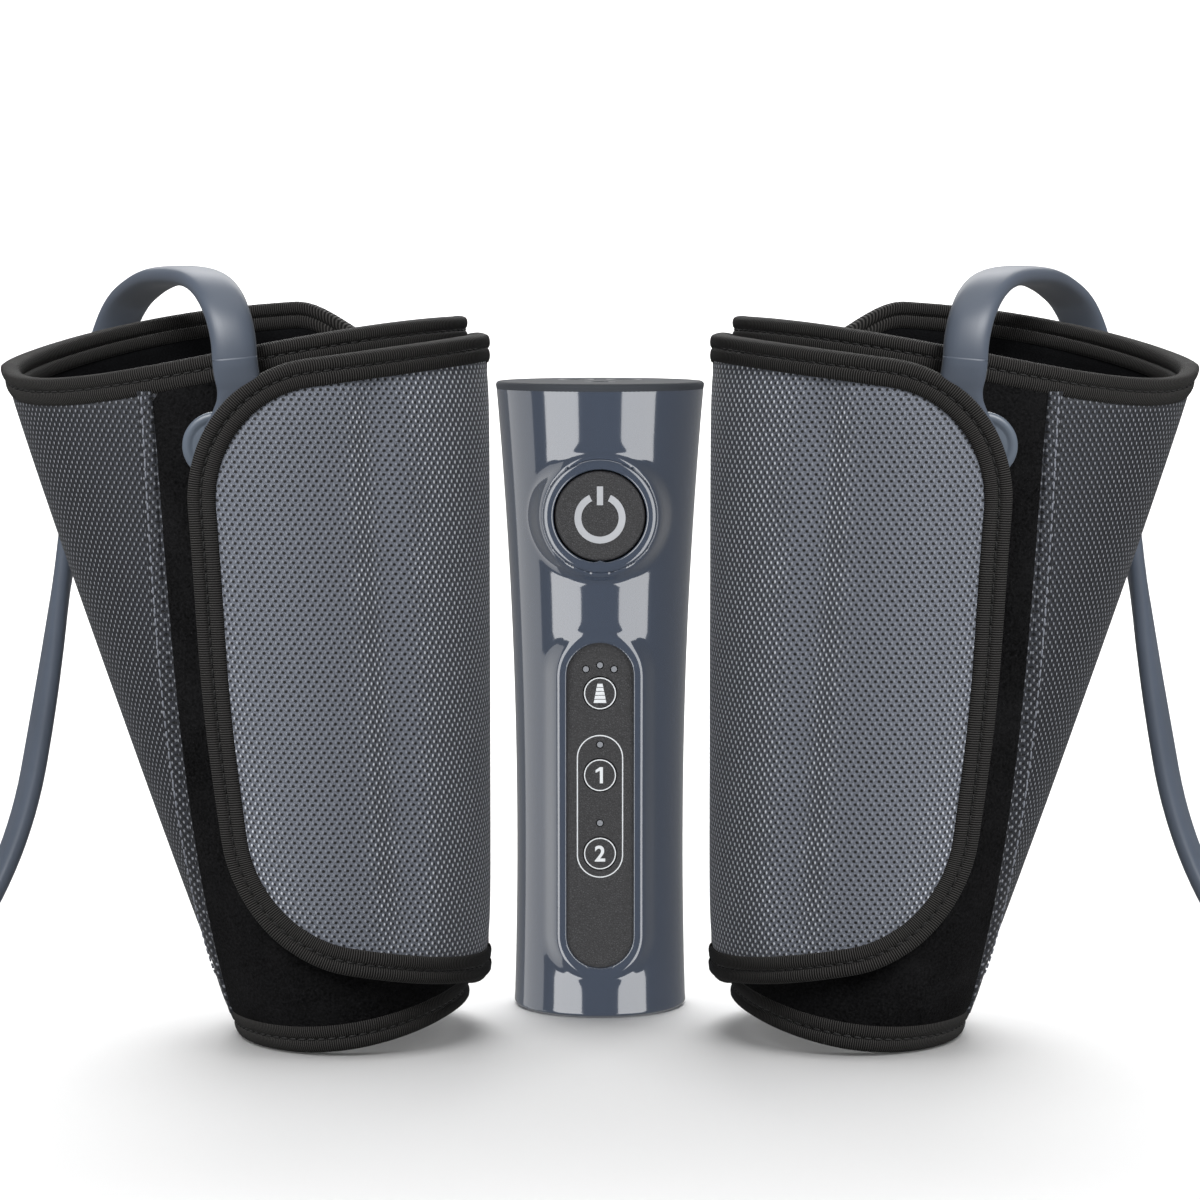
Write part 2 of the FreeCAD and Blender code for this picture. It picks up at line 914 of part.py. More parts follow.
# Manifold, valves and the pipes to the hose sockets
MANIFOLD_LOW = f"({COVER_HIGH}+[tube_length])"
MANIFOLD_HIGH = f"({MANIFOLD_LOW}+[manifold_height])"
VALVE_Y = forward("-([pump_offset]-[valve_back])")
node(
    "air_manifold",
    fuse(
        "manifold_solid",
        box(
            "manifold_block",
            "[manifold_width]",
            "[manifold_depth]",
            "[manifold_height]",
            "-[manifold_width]/2",
            f"{PUMP_Y}-[manifold_depth]/2",
            MANIFOLD_LOW,
        ),
        on_pump(
            "manifold_nipple",
            "[nipple_radius]",
            f"{MANIFOLD_LOW}-[nipple_length]",
            "[nipple_length]",
        ),
    ),
)
valves = []
for side, x in (("left", "-[valve_spacing]/2"), ("right", "[valve_spacing]/2")):
    yoke = box(
        f"{side}_valve_yoke",
        "[valve_side]",
        "[valve_side]",
        "[valve_height]",
        f"{x}-[valve_side]/2",
        f"{VALVE_Y}-[valve_side]/2",
        MANIFOLD_HIGH,
    )
    bore = cylinder(
        f"{side}_valve_bore",
        "[plunger_radius]+[plunger_gap]",
        "[valve_height]",
        x,
        VALVE_Y,
        f"{MANIFOLD_HIGH}+[valve_floor]",
    )
    valves.append(cut(f"{side}_valve_solid", yoke, bore))
    node(
        f"{side}_valve_plunger",
        cylinder(
            f"{side}_plunger_rod",
            "[plunger_radius]",
            "[valve_height]-[valve_floor]-[plunger_seat]+[plunger_proud]",
            x,
            VALVE_Y,
            f"{MANIFOLD_HIGH}+[valve_floor]+[plunger_seat]",
        ),
    )
node("solenoid_valves", group("solenoid_valve_set", *valves))
OUTLET_TOP = "([body_height]+[outlet_proud])"
OUTLET_LOW = f"({OUTLET_TOP}-[outlet_depth]-[outlet_floor])"


def pipe(name, x, y, low, length, outside, inside):
    return cut(
        name,
        cylinder(name + "_outside", outside, length, x, y, low),
        cylinder(name + "_inside", inside, length, x, y, low),
    )


node(
    "outlet_tubes",
    group(
        "outlet_tube_set",
        *[
            pipe(
                f"outlet_tube_{i}",
                x,
                y,
                MANIFOLD_HIGH,
                f"{OUTLET_LOW}-{MANIFOLD_HIGH}",
                "[outlet_tube_radius]",
                "[nipple_radius]",
            )
            for i, (x, y) in enumerate(OUTLET_SPOTS)
        ],
    ),
)
node(
    "air_outlets",
    group(
        "air_outlet_set",
        *[
            cut(
                f"air_outlet_{i}",
                cylinder(
                    f"outlet_body_{i}",
                    "[outlet_radius]",
                    f"{OUTLET_TOP}-{OUTLET_LOW}",
                    x,
                    y,
                    OUTLET_LOW,
                ),
                cylinder(
                    f"outlet_socket_{i}",
                    "[outlet_bore]",
                    "[outlet_depth]",
                    x,
                    y,
                    f"{OUTLET_LOW}+[outlet_floor]",
                ),
                cylinder(f"outlet_port_{i}", "[nipple_radius]", "[outlet_floor]", x, y, OUTLET_LOW),
            )
            for i, (x, y) in enumerate(OUTLET_SPOTS)
        ],
    ),
)
JACK_Y = forward("[jack_offset]")
jack_cup = cut(
    "jack_cup",
    cylinder("jack_body", "[jack_radius]", "[jack_length]", "0", JACK_Y, "[body_height]-[jack_length]"),
    cylinder("jack_bore_tool", "[jack_bore]", "[jack_depth]", "0", JACK_Y, "[body_height]-[jack_depth]"),
)
jack_pin = cylinder(
    "jack_pin_rod",
    "[jack_pin]",
    "[jack_depth]",
    "0",
    JACK_Y,
    "[body_height]-[jack_depth]-[running_gap]",
)
node("dc_jack", fuse("jack_solid", jack_cup, jack_pin))


# Calf wraps. A wrap is one sheet rolled into a slanting cone: the angle along the sheet is 0 at the
# right fold, 90 at the front, 180 at the left fold, 270 at the back and 360 at the fold where the
# flap starts. Past the left fold the sheet moves out to pass over its own inner lap.
POINT_STEP = 15
STACK = size("cloth") * 2 + size("bladder") + size("layer_gap") * 2
FLAP_IN = size("loop_pile") + size("hook_clear") + size("hook_height")
FLAP_OUT = FLAP_IN + size("cloth") * 2 + size("flap_pad") + size("layer_gap") * 2
LAP_OUT = FLAP_OUT
FOLD = 360
LOW_CUT = -40
HIGH_CUT = size("wrap_height") + 60


def lap(angle):
    """How far the sheet has moved out by an angle along it."""
    share = (angle - size("lap_start")) / (size("lap_end") - size("lap_start"))
    share = min(max(share, 0), 1)
    return LAP_OUT * share * share * (3 - 2 * share)


def cone_point(angle, out, height):
    """A point of the cone at an angle and height, moved out from its surface."""
    share = height / size("wrap_height")
    left = size("wrap_left_foot") + share * (size("wrap_left_top") - size("wrap_left_foot"))
    half_depth = size("wrap_half_depth_foot") + share * (
        size("wrap_half_depth_top") - size("wrap_half_depth_foot")
    )
    centre, half_width = (size("wrap_right") + left) / 2, (size("wrap_right") - left) / 2
    turn = math.radians(angle)
    return Vector(
        centre + (half_width + out) * math.cos(turn),
        size("wrap_y") - (half_depth + out) * math.sin(turn),
        height,
    )


def curve(points):
    """A smooth line through points, evenly paced so that lines at two heights match angle by angle."""
    last = len(points) - 1
    spline = Part.BSplineCurve()
    spline.interpolate(Points=points, Parameters=[i / last for i in range(last + 1)])
    return spline.toShape()


def layer(start, end, inside, outside, follow=lap):
    """One layer of the rolled sheet between two angles, as tall as any trim needs."""
    steps = max(4, round((end - start) / POINT_STEP))
    angles = [start + (end - start) * i / steps for i in range(steps + 1)]
    rings = []
    for height in (LOW_CUT, HIGH_CUT):
        outer = [cone_point(a, follow(a) + outside, height) for a in angles]
        inner = [cone_point(a, follow(a) + inside, height) for a in angles]
        rings.append(
            Part.Wire(
                [
                    curve(outer),
                    Part.makeLine(outer[-1], inner[-1]),
                    curve(inner[::-1]),
                    Part.makeLine(inner[0], outer[0]),
                ]
            )
        )
    return Part.makeLoft(rings, True, True)


def flat(angle):
    """A layer that stays at its own distance from the cone."""
    return 0


REACH = 400


def prism(edges, run):
    """A closed outline pushed along a direction."""
    return Part.Face(Part.Wire(edges)).extrude(run)


def top_side(above, shift):
    """Everything above or below the wrap's rim, moved up by a shift. The rim rises towards the back."""
    slope, lift = size("rim_slope"), size("rim_back_lift")
    reach, middle = size("rim_reach"), size("wrap_y")
    start_x = size("wrap_left_top") - REACH
    level = size("rim_left") + shift - REACH * slope
    front = Vector(start_x, middle - 2 * reach, level)
    near = Vector(start_x, middle - reach, level)
    centre = Vector(start_x, middle, level + lift / 8)
    back = Vector(start_x, middle + reach, level + lift)
    end = Vector(start_x, middle + 2 * reach, level + lift)
    far = level + (REACH if above else -REACH)
    far_end, far_front = Vector(start_x, end.y, far), Vector(start_x, front.y, far)
    edges = [Part.makeLine(front, near), Part.Arc(near, centre, back).toShape()]
    edges += [Part.makeLine(back, end), Part.makeLine(end, far_end)]
    edges += [Part.makeLine(far_end, far_front), Part.makeLine(far_front, front)]
    return prism(edges, Vector(2 * REACH, 0, 2 * REACH * slope))


def foot_side(above, shift):
    """Everything above or below the wrap's foot, moved up by a shift. The foot curves up to the right."""
    level, radius = size("foot_level") + shift, size("foot_bend_radius")
    bend_x, width = size("foot_flat_end"), size("foot_bend_width")
    front_y = size("wrap_y") - REACH

    def bent(share):
        run = share * width
        return Vector(bend_x + run, front_y, level + radius - math.sqrt(radius**2 - run**2))

    left, end = Vector(bend_x - REACH, front_y, level), bent(1)
    far = level + (REACH if above else -REACH)
    far_end, far_left = Vector(end.x, front_y, far), Vector(left.x, front_y, far)
    edges = [Part.makeLine(left, bent(0)), Part.Arc(bent(0), bent(0.5), end).toShape()]
    edges += [Part.makeLine(end, far_end), Part.makeLine(far_end, far_left), Part.makeLine(far_left, left)]
    return prism(edges, Vector(0, 2 * REACH, 0))


def between(solid, foot_shift, top_shift):
    """The part of a layer between the foot and the rim, each moved by a shift."""
    return solid.common(top_side(False, top_shift)).common(foot_side(True, foot_shift))


def rounded(corners):
    """Edges of an outline in the XZ plane whose corners are (x, z, radius)."""
    count = len(corners)
    places = [Vector(x, 0, z) for x, z, _ in corners]
    starts, ends = [], []
    for i, (_, _, radius) in enumerate(corners):
        into = (places[i - 1] - places[i]).normalize()
        out = (places[(i + 1) % count] - places[i]).normalize()
        half = into.getAngle(out) / 2
        length = radius / math.tan(half) if radius else 0
        starts.append(places[i] + into * length)
        ends.append(places[i] + out * length)
    edges = []
    for i, (_, _, radius) in enumerate(corners):
        if radius:
            into = (places[i - 1] - places[i]).normalize()
            out = (places[(i + 1) % count] - places[i]).normalize()
            half = into.getAngle(out) / 2
            centre = places[i] + (into + out).normalize() * (radius / math.sin(half))
            middle = centre + (places[i] - centre).normalize() * radius
            edges.append(Part.Arc(starts[i], middle, ends[i]).toShape())
        edges.append(Part.makeLine(ends[i], starts[(i + 1) % count]))
    return edges


def front_prism(corners):
    """An outline seen from the front, pushed through the whole depth."""
    solid = prism(rounded(corners), Vector(0, 2 * REACH, 0))
    solid.translate(Vector(0, -REACH, 0))
    return solid


def flap_outline(inset, past_fold=0):
    """The flap's outline, inset from its edge. It runs on past the fold, where the layer itself ends."""
    right = size("wrap_right") + REACH / 4 + past_fold
    fold_x = size("wrap_right") + FLAP_OUT
    top_slope = (size("flap_fold_top") - size("flap_corner_z")) / (fold_x - size("flap_corner_x"))
    foot_slope = (size("flap_fold_foot") - size("flap_foot_z")) / (fold_x - size("flap_foot_x"))
    side_height = size("flap_corner_z") - size("flap_foot_z")
    side_slope = (size("flap_foot_x") - size("flap_corner_x")) / side_height
    run = right - fold_x
    return front_prism(
        [
            (right, size("flap_fold_top") + run * top_slope - inset, 0),
            (
                size("flap_corner_x") + inset * (1 + side_slope),
                size("flap_corner_z") - inset * (1 - top_slope),
                size("flap_top_radius") - inset,
            ),
            (
                size("flap_foot_x") + inset * (1 - side_slope),
                size("flap_foot_z") + inset * (1 + foot_slope),
                size("flap_foot_radius") - inset,
            ),
            (right, size("flap_fold_foot") + run * foot_slope + inset, 0),
        ]
    )


def feature(name, shape):
    """A sub-part whose shape is set from the sheet's sizes."""
    made = doc.addObject("Part::Feature", name)
    made.Shape = shape.Solids[0] if len(shape.Solids) == 1 else Part.makeCompound(shape.Solids)
    return node(name, made)


SHEET_START = -size("inner_lap")
HOLD = size("binding_width")
GAP = size("layer_gap")
CLOTH = size("cloth")

cover = layer(SHEET_START, FOLD, -CLOTH, 0)
feature("left_wrap_cover", between(cover, HOLD, -HOLD))
bladder_margin = HOLD + size("bladder_margin")
bladder_out = -CLOTH - GAP
bladder = layer(SHEET_START + 10, FOLD - 10, bladder_out - size("bladder"), bladder_out)
feature("left_wrap_bladder", between(bladder, bladder_margin, -bladder_margin))
lining_out = bladder_out - size("bladder") - GAP
lining = layer(SHEET_START, FOLD, lining_out - CLOTH, lining_out)
feature("left_wrap_lining", between(lining, HOLD, -HOLD))
tape = layer(SHEET_START, FOLD, -STACK - size("binding_proud"), size("binding_proud"))
feature("left_wrap_top_binding", tape.common(top_side(True, -HOLD)).common(top_side(False, 0)))
feature("left_wrap_foot_binding", tape.common(foot_side(False, HOLD)).common(foot_side(True, 0)))

# Loop panel on the front of the cone, up to the slanting seam
loop_low, loop_high = LOW_CUT, HIGH_CUT
loop_slope = (size("loop_left_top") - size("loop_left_foot")) / size("rim_left")
loop_region = front_prism(
    [
        (0, loop_high, 0),
        (size("loop_left_foot") + loop_slope * loop_high, loop_high, 0),
        (size("loop_left_foot") + loop_slope * loop_low, loop_low, 0),
        (0, loop_low, 0),
    ]
)
pile = layer(size("loop_right"), size("lap_start"), GAP / 2, size("loop_pile"), flat)
loop_panel = between(pile, HOLD + GAP, -HOLD - GAP).common(loop_region)
feature("left_wrap_loop_panel", loop_panel)

# Flap: lining with hook strips, padding, cover and the binding round its three free edges
FLAP_START = 0
FLAP_END = 165
pad_in = FLAP_IN + CLOTH + GAP
pad_out = pad_in + size("flap_pad")
stem_path_x = size("fitting_x")


def flap_layer(inside, outside, start=FLAP_START):
    return layer(start, FLAP_END, inside, outside, flat)


def stem_box(grow, height):
    """The flat stem of the hose fitting, or the room for it: it runs up the front of the wrap."""
    half = size("fitting_stem_width") / 2 + grow
    lean = size("stem_lean")
    low, high = size("fitting_z"), size("fitting_stem_top") + grow
    outline = front_prism(
        [
            (stem_path_x - half, low, 0),
            (stem_path_x + half, low, 0),
            (stem_path_x + half + lean, high, 0),
            (stem_path_x - half + lean, high, 0),
        ]
    )
    base = size("loop_pile") + GAP / 2
    return layer(45, 150, base, base + height, flat).common(outline)


def flange_disc(grow, height):
    """The round flange of the hose fitting, or the room for it."""
    disc = Part.makeCylinder(
        size("flange_radius") + grow,
        2 * REACH,
        Vector(size("fitting_x"), -REACH, size("fitting_z")),
        Vector(0, 1, 0),
    )
    base = size("loop_pile") + GAP / 2
    return layer(45, 150, base, base + height, flat).common(disc)


relief = stem_box(size("relief"), size("fitting_stem_height") + size("relief"))
relief = relief.fuse(flange_disc(size("relief"), size("fitting_stem_height") + size("relief")))
inner_outline = flap_outline(HOLD)
feature("left_flap_cover", flap_layer(pad_out + GAP, FLAP_OUT).common(inner_outline))
feature("left_flap_padding", flap_layer(pad_in, pad_out).common(flap_outline(HOLD + GAP)).cut(relief))
feature("left_flap_lining", flap_layer(FLAP_IN, FLAP_IN + CLOTH).common(inner_outline).cut(relief))
hook_low = size("loop_pile") + size("hook_clear")
hook_layer = flap_layer(hook_low, FLAP_IN - size("fit_gap")).common(inner_outline)
hooks = []
for right in (size("hook_first"), size("hook_second")):
    left, foot, head = right - size("hook_width"), size("hook_foot"), size("hook_head")
    strip = front_prism([(right, head, 0), (left, head, 0), (left, foot, 0), (right, foot, 0)])
    hooks.append(hook_layer.common(strip))
feature("left_flap_hook_strips", Part.makeCompound([s for h in hooks for s in h.Solids]))
tape_in, tape_out = FLAP_IN - size("binding_proud"), FLAP_OUT + size("binding_proud")
flap_tape = flap_layer(tape_in, tape_out).common(flap_outline(0)).cut(inner_outline).cut(relief)
feature("left_flap_binding", flap_tape)

# Hose fitting, hose and plug
fitting = stem_box(0, size("fitting_stem_height")).fuse(flange_disc(0, size("flange_height")))
feature("left_hose_fitting", fitting.removeSplitter())


BEND_STEP = 9
HOSE_EDGE = 0.8
TURN_START = 0.15
TURN_END = 0.5


def route_edges(points):
    """Straight runs joined by tangent arcs, each as large as its two runs allow."""
    edges, radii, at = [], [], points[0]
    for before, corner, after in zip(points, points[1:], points[2:]):
        into, out = (before - corner), (after - corner)
        shorter = min(into.Length, out.Length)
        into.normalize()
        out.normalize()
        half = into.getAngle(out) / 2
        length = 0.45 * shorter
        radius = length * math.tan(half)
        start, end = corner + into * length, corner + out * length
        centre = corner + (into + out).normalize() * (radius / math.sin(half))
        middle = centre + (corner - centre).normalize() * radius
        edges += [Part.LineSegment(at, start).toShape(), Part.Arc(start, middle, end).toShape()]
        radii.append(radius)
        at = end
    edges.append(Part.LineSegment(at, points[-1]).toShape())
    return edges, radii


def hose_section(at, way, share):
    """The flat hose's outline at one place. Its wide side turns from sideways to level on the way."""
    turned = min(max((share - TURN_START) / (TURN_END - TURN_START), 0), 1)
    turned = turned * turned * (3 - 2 * turned)
    way = Vector(way).normalize()
    across = Vector(1, 0, 0) * (1 - turned)
    if turned:
        across += way.cross(Vector(0, 0, 1)).normalize() * turned
    across = (across - way * across.dot(way)).normalize()
    through = way.cross(across).normalize()
    half_width, half_thick = size("hose_width") / 2, size("hose_thickness") / 2
    flat_half = half_width - half_thick * HOSE_EDGE

    def spot(u, v):
        return at + across * u + through * v

    right, left = spot(half_width, 0), spot(-half_width, 0)
    corners = [spot(u * flat_half, v * half_thick) for u, v in ((-1, 1), (1, 1), (1, -1), (-1, -1))]
    return Part.Wire(
        [
            Part.makeLine(corners[0], corners[1]),
            Part.Arc(corners[1], right, corners[2]).toShape(),
            Part.makeLine(corners[2], corners[3]),
            Part.Arc(corners[3], left, corners[0]).toShape(),
        ]
    )


def lofted_hose(points):
    """The flat hose as one ruled loft: sections at the ends of each straight and round each bend."""
    edges, radii = route_edges(points)
    total = sum(edge.Length for edge in edges)
    sections, before = [], 0
    for number, edge in enumerate(edges):
        bend = edge.Curve.TypeId == "Part::GeomCircle"
        steps = math.ceil(math.degrees(edge.Length / edge.Curve.Radius) / BEND_STEP) if bend else 1
        for i in range(steps):
            along = edge.FirstParameter + (edge.LastParameter - edge.FirstParameter) * i / steps
            share = (before + edge.Length * i / steps) / total
            sections.append(hose_section(edge.valueAt(along), edge.tangentAt(along), share))
        before += edge.Length
    last = edges[-1]
    sections.append(hose_section(last.valueAt(last.LastParameter), last.tangentAt(last.LastParameter), 1))
    solid = Part.makeLoft(sections, True, True)
    filled = solid.Volume / (Part.Face(sections[0]).Area * total)
    print("hose radii", [round(r) for r in radii])
    print("hose length", round(total, 1), "volume share", round(filled, 4), "sections", len(sections))
    return solid


hose_route = [Vector(x, y + size("wrap_y"), z) for x, y, z in HOSE_ROUTE]
feature("left_hose", lofted_hose(hose_route))
hose_before, hose_end = hose_route[-2:]
plug_way = (hose_end - hose_before).normalize()
plug_across = Vector(0, 0, 1).cross(plug_way)
block = Part.makeBox(size("plug_length"), size("plug_width"), size("plug_height"))
long_edges = [e for e in block.Edges if abs(e.tangentAt(e.FirstParameter).x) > 0.9]
block = block.makeFillet(size("plug_height") / 4, long_edges)
nose = Part.makeCylinder(
    size("plug_nose_radius"),
    size("plug_nose_length"),
    Vector(size("plug_length"), size("plug_width") / 2, size("plug_height") / 2),
    Vector(1, 0, 0),
)
plug = block.fuse(nose).removeSplitter()
plug.Placement = FreeCAD.Placement(
    hose_end - plug_across * (size("plug_width") / 2) - Vector(0, 0, hose_end.z),
    FreeCAD.Rotation(Vector(1, 0, 0), plug_way),
)
feature("left_hose_plug", plug.copy())

# The right wrap is the left one's mirror image.
for name in [n for n in nodes if n.startswith("left_") and "valve" not in n]:
    mirrored = doc.addObject("Part::Mirroring", name.replace("left_", "right_"))
    mirrored.Source = nodes[name]
    mirrored.Normal = (1, 0, 0)
    node(name.replace("left_", "right_"), mirrored)

doc.recompute()
for thing in doc.Objects:
    if {"Invalid", "Error"} & set(thing.State):
        raise RuntimeError(f"{thing.Label} failed: {thing.State}")
os.makedirs("parts", exist_ok=True)
for name, thing in nodes.items():
    shape = thing.Shape
    if shape.isNull() or not shape.isValid() or not shape.Solids:
        raise RuntimeError(f"{name} has no valid solid")
    Part.makeCompound(shape.Solids).exportStep(f"parts/{name}.step")
print(len(nodes), "nodes")
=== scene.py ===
"""Looks of the leg massager: a hand-held controller between two calf wraps with air hoses.

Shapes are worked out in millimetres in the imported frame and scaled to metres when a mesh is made.
The left wrap is modelled, and the right one is its mirror image.
"""

import json
import math

import bpy
import numpy as np
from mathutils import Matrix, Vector
from mathutils.geometry import delaunay_2d_cdt

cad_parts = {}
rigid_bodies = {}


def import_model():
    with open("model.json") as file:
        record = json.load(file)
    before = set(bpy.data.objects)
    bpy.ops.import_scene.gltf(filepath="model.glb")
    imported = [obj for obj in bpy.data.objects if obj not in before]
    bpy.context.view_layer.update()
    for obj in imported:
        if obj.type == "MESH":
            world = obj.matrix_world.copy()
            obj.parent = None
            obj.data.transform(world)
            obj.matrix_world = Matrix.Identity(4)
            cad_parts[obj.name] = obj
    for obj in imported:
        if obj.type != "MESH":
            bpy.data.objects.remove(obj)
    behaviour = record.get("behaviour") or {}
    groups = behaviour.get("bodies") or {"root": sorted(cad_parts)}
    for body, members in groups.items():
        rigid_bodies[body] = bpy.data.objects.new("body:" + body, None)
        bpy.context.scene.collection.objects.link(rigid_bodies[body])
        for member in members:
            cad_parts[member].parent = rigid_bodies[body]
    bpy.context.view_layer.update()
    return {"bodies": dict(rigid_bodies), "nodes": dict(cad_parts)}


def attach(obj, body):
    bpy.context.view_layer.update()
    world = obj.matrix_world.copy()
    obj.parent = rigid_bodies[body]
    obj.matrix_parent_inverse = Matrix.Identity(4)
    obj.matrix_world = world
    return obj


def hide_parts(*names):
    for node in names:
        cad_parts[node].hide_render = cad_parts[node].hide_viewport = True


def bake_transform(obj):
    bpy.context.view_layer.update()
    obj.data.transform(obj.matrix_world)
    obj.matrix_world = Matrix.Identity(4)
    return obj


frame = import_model()
MM = 0.001

# Sizes shared with the part's source
CONTROLLER_Y, BODY_HEIGHT = 29.7, 195.0
TOP_RADIUS, WAIST_RADIUS, WAIST_HEIGHT = 32.3, 25.9, 52.0
BUTTON_HEIGHT, BEZEL_RADIUS = 155.0, 17.5
PANEL_HALF, PANEL_LOW, PANEL_HIGH = 10.3, 25.8, 105.7
RIM_WIDTH, PANEL_SINK, KEY_PROUD = 2.9, 0.9, 0.15
KEYS = {"pressure_key": 100.4, "mode_1_key": 75.2, "mode_2_key": 51.0}
WRAP_Y, WRAP_HEIGHT, WRAP_RIGHT = -14.3, 222.0, -40.1
LEFT_TOP, LEFT_FOOT, HALF_DEPTH = -186.0, -109.0, 40.4
RIM_LEFT, RIM_SLOPE, RIM_LIFT, RIM_REACH = 199.2, 0.105, 11.0, 45.0
FOOT_LEVEL, FOOT_FLAT_END = 0.13, -95.0
INNER_LAP, LAP_START, LAP_END, FOLD = 75.0, 180.0, 270.0, 360.0
STACK, FLAP_IN, FLAP_OUT = 4.6, 2.1, 6.7
TAPE_WIDTH = 8.0
LOOP_TOP, LOOP_FOOT, LOOP_RIGHT, LOOP_PILE = -130.0, -108.0, 12.0, 0.8
FLAP_FOLD_TOP = 210.5
FITTING_X, FITTING_Z = -110.5, 179.0
HOSE_WIDTH, HOSE_THICKNESS = 13.0, 6.0
TURN_START, TURN_END = 0.15, 0.5
HOSE_ROUTE = [
    (-105.0, -44.9, 203.5),
    (-105.0, -44.9, 208.5),
    (-107.0, -41.5, 216.8),
    (-110.5, -34.0, 223.0),
    (-115.5, -22.5, 226.8),
    (-123.0, -4.0, 228.0),
    (-136.0, 24.0, 227.0),
    (-150.5, 54.0, 216.5),
    (-159.0, 58.0, 184.0),
    (-168.0, 55.0, 138.6),
    (-173.5, 52.5, 98.0),
    (-182.0, 48.0, 50.0),
    (-204.0, 38.0, 10.0),
    (-242.0, 22.0, 3.1),
    (-286.0, 11.0, 3.1),
    (-326.0, 11.0, 3.1),
    (-360.0, 19.0, 3.1),
    (-388.0, 30.0, 3.1),
]

# Soft edges of the cloth, which differ a little from the part's source
FOOT_BEND, FOLD_RISE, FOLD_RISE_RUN = 150.0, 6.0, 25.0
BACK_DROP, BACK_START, BACK_RUN = 12.5, 284.0, 22.0
FOLD_DROP, FOLD_START, FOLD_RUN, INNER_RUN = 6.5, 318.0, 36.0, 40.0
WAVE, SAG = 3.0, 1.0
SHEET_UNDER, LOOP_UNDER, FLAP_SPLIT = 2.0, 1.0, 1.4
SIDE_SWELL, SIDE_AT, SIDE_SPREAD = 1.2, 175.0, 35.0
SEAM_BOW_FOOT, SEAM_BOW_TOP = 8.0, 3.0
FLAP_CORNERS = [(-122.4, 199.2, 40.0), (-106.7, 31.0, 44.0)]
FLAP_FOLD_FOOT = 17.5
EDGE_BOW, EDGE_BOW_AT, EDGE_BOW_SPREAD = 2.0, 100.0, 45.0
RIDGE_X, RIDGE_LEAN, VALLEY_RUN, RISE_RUN, VALLEY_DEPTH = -69.5, -5.2, 8.0, 10.0, 2.5
CREASE_MIDDLE, CREASE_HALF, CROWN_RISE, CROWN_RUN = 110.0, 95.0, 1.3, 7.0
TAPE_DIP, BULGE, BULGE_BESIDE, BULGE_SPREAD = 0.9, 0.8, 16.0, 14.0


# Materials
class Look:
    """A material whose shader nodes are added and linked with short calls."""

    def __init__(self, name, colour, roughness):
        self.made = bpy.data.materials.new(name)
        self.made.use_nodes = True
        self.tree = self.made.node_tree
        self.shader = self.tree.nodes["Principled BSDF"]
        self.fill(self.shader, Base_Color=(*colour, 1), Roughness=roughness)

    def add(self, kind, **settings):
        node = self.tree.nodes.new("ShaderNode" + kind)
        for key, value in settings.items():
            setattr(node, key, value)
        return node

    def link(self, out, into):
        self.tree.links.new(out, into)

    def feed(self, socket, value):
        """Sets a socket to a number, or links it to another socket."""
        if isinstance(value, bpy.types.NodeSocket):
            self.link(value, socket)
        else:
            socket.default_value = value

    def fill(self, node, **values):
        """Sets or links sockets of a node by their names."""
        for key, value in values.items():
            self.feed(node.inputs[key.replace("_", " ")], value)

    def finish(self, **values):
        """Sets the main shader's sockets and gives the material."""
        self.fill(self.shader, **values)
        return self.made

    def math(self, operation, first, second=0.0, clamp=False):
        node = self.add("Math", operation=operation, use_clamp=clamp)
        self.feed(node.inputs[0], first)
        self.feed(node.inputs[1], second)
        return node.outputs[0]

    def times(self, first, second, clamp=False):
        return self.math("MULTIPLY", first, second, clamp)

    def blend(self, first, share, second, other):
        """The sum of two sockets, each times its share."""
        return self.math("ADD", self.times(first, share), self.times(second, other))

    def mix(self, share, colour, other):
        """One colour laid over another."""
        node = self.add("MixRGB")
        self.feed(node.inputs[0], share)
        self.feed(node.inputs[1], colour)
        node.inputs[2].default_value = (*other, 1)
        return node.outputs[0]

    def ramp(self, factor, low, high, start=0.0, end=1.0):
        """A two-colour ramp."""
        node = self.add("ValToRGB")
        node.color_ramp.elements[0].position = start
        node.color_ramp.elements[1].position = end
        node.color_ramp.elements[0].color = (*low, 1)
        node.color_ramp.elements[1].color = (*high, 1)
        self.link(factor, node.inputs[0])
        return node.outputs[0]

    def noise(self, where, scale, detail=3.0, roughness=0.55):
        node = self.add("TexNoise")
        self.fill(node, Vector=where, Scale=scale, Detail=detail, Roughness=roughness)
        return node.outputs["Fac"]

    def bump(self, height, strength, distance):
        node = self.add("Bump")
        self.fill(node, Strength=strength, Distance=distance, Height=height)
        return node.outputs["Normal"]

    def place(self, kind):
        """A place on the piece: "UV" along the cloth, or "Object" in space."""
        return self.add("TexCoord").outputs[kind]


MESH_PITCH, MESH_ROW, MESH_SHIFT = 0.00215, 0.00138, 0.42
# The knots' light colour is a painted highlight on the threads.
MESH_HOLE, MESH_KNOT_GLINT = (0.003, 0.0035, 0.005), (0.66, 0.69, 0.76)


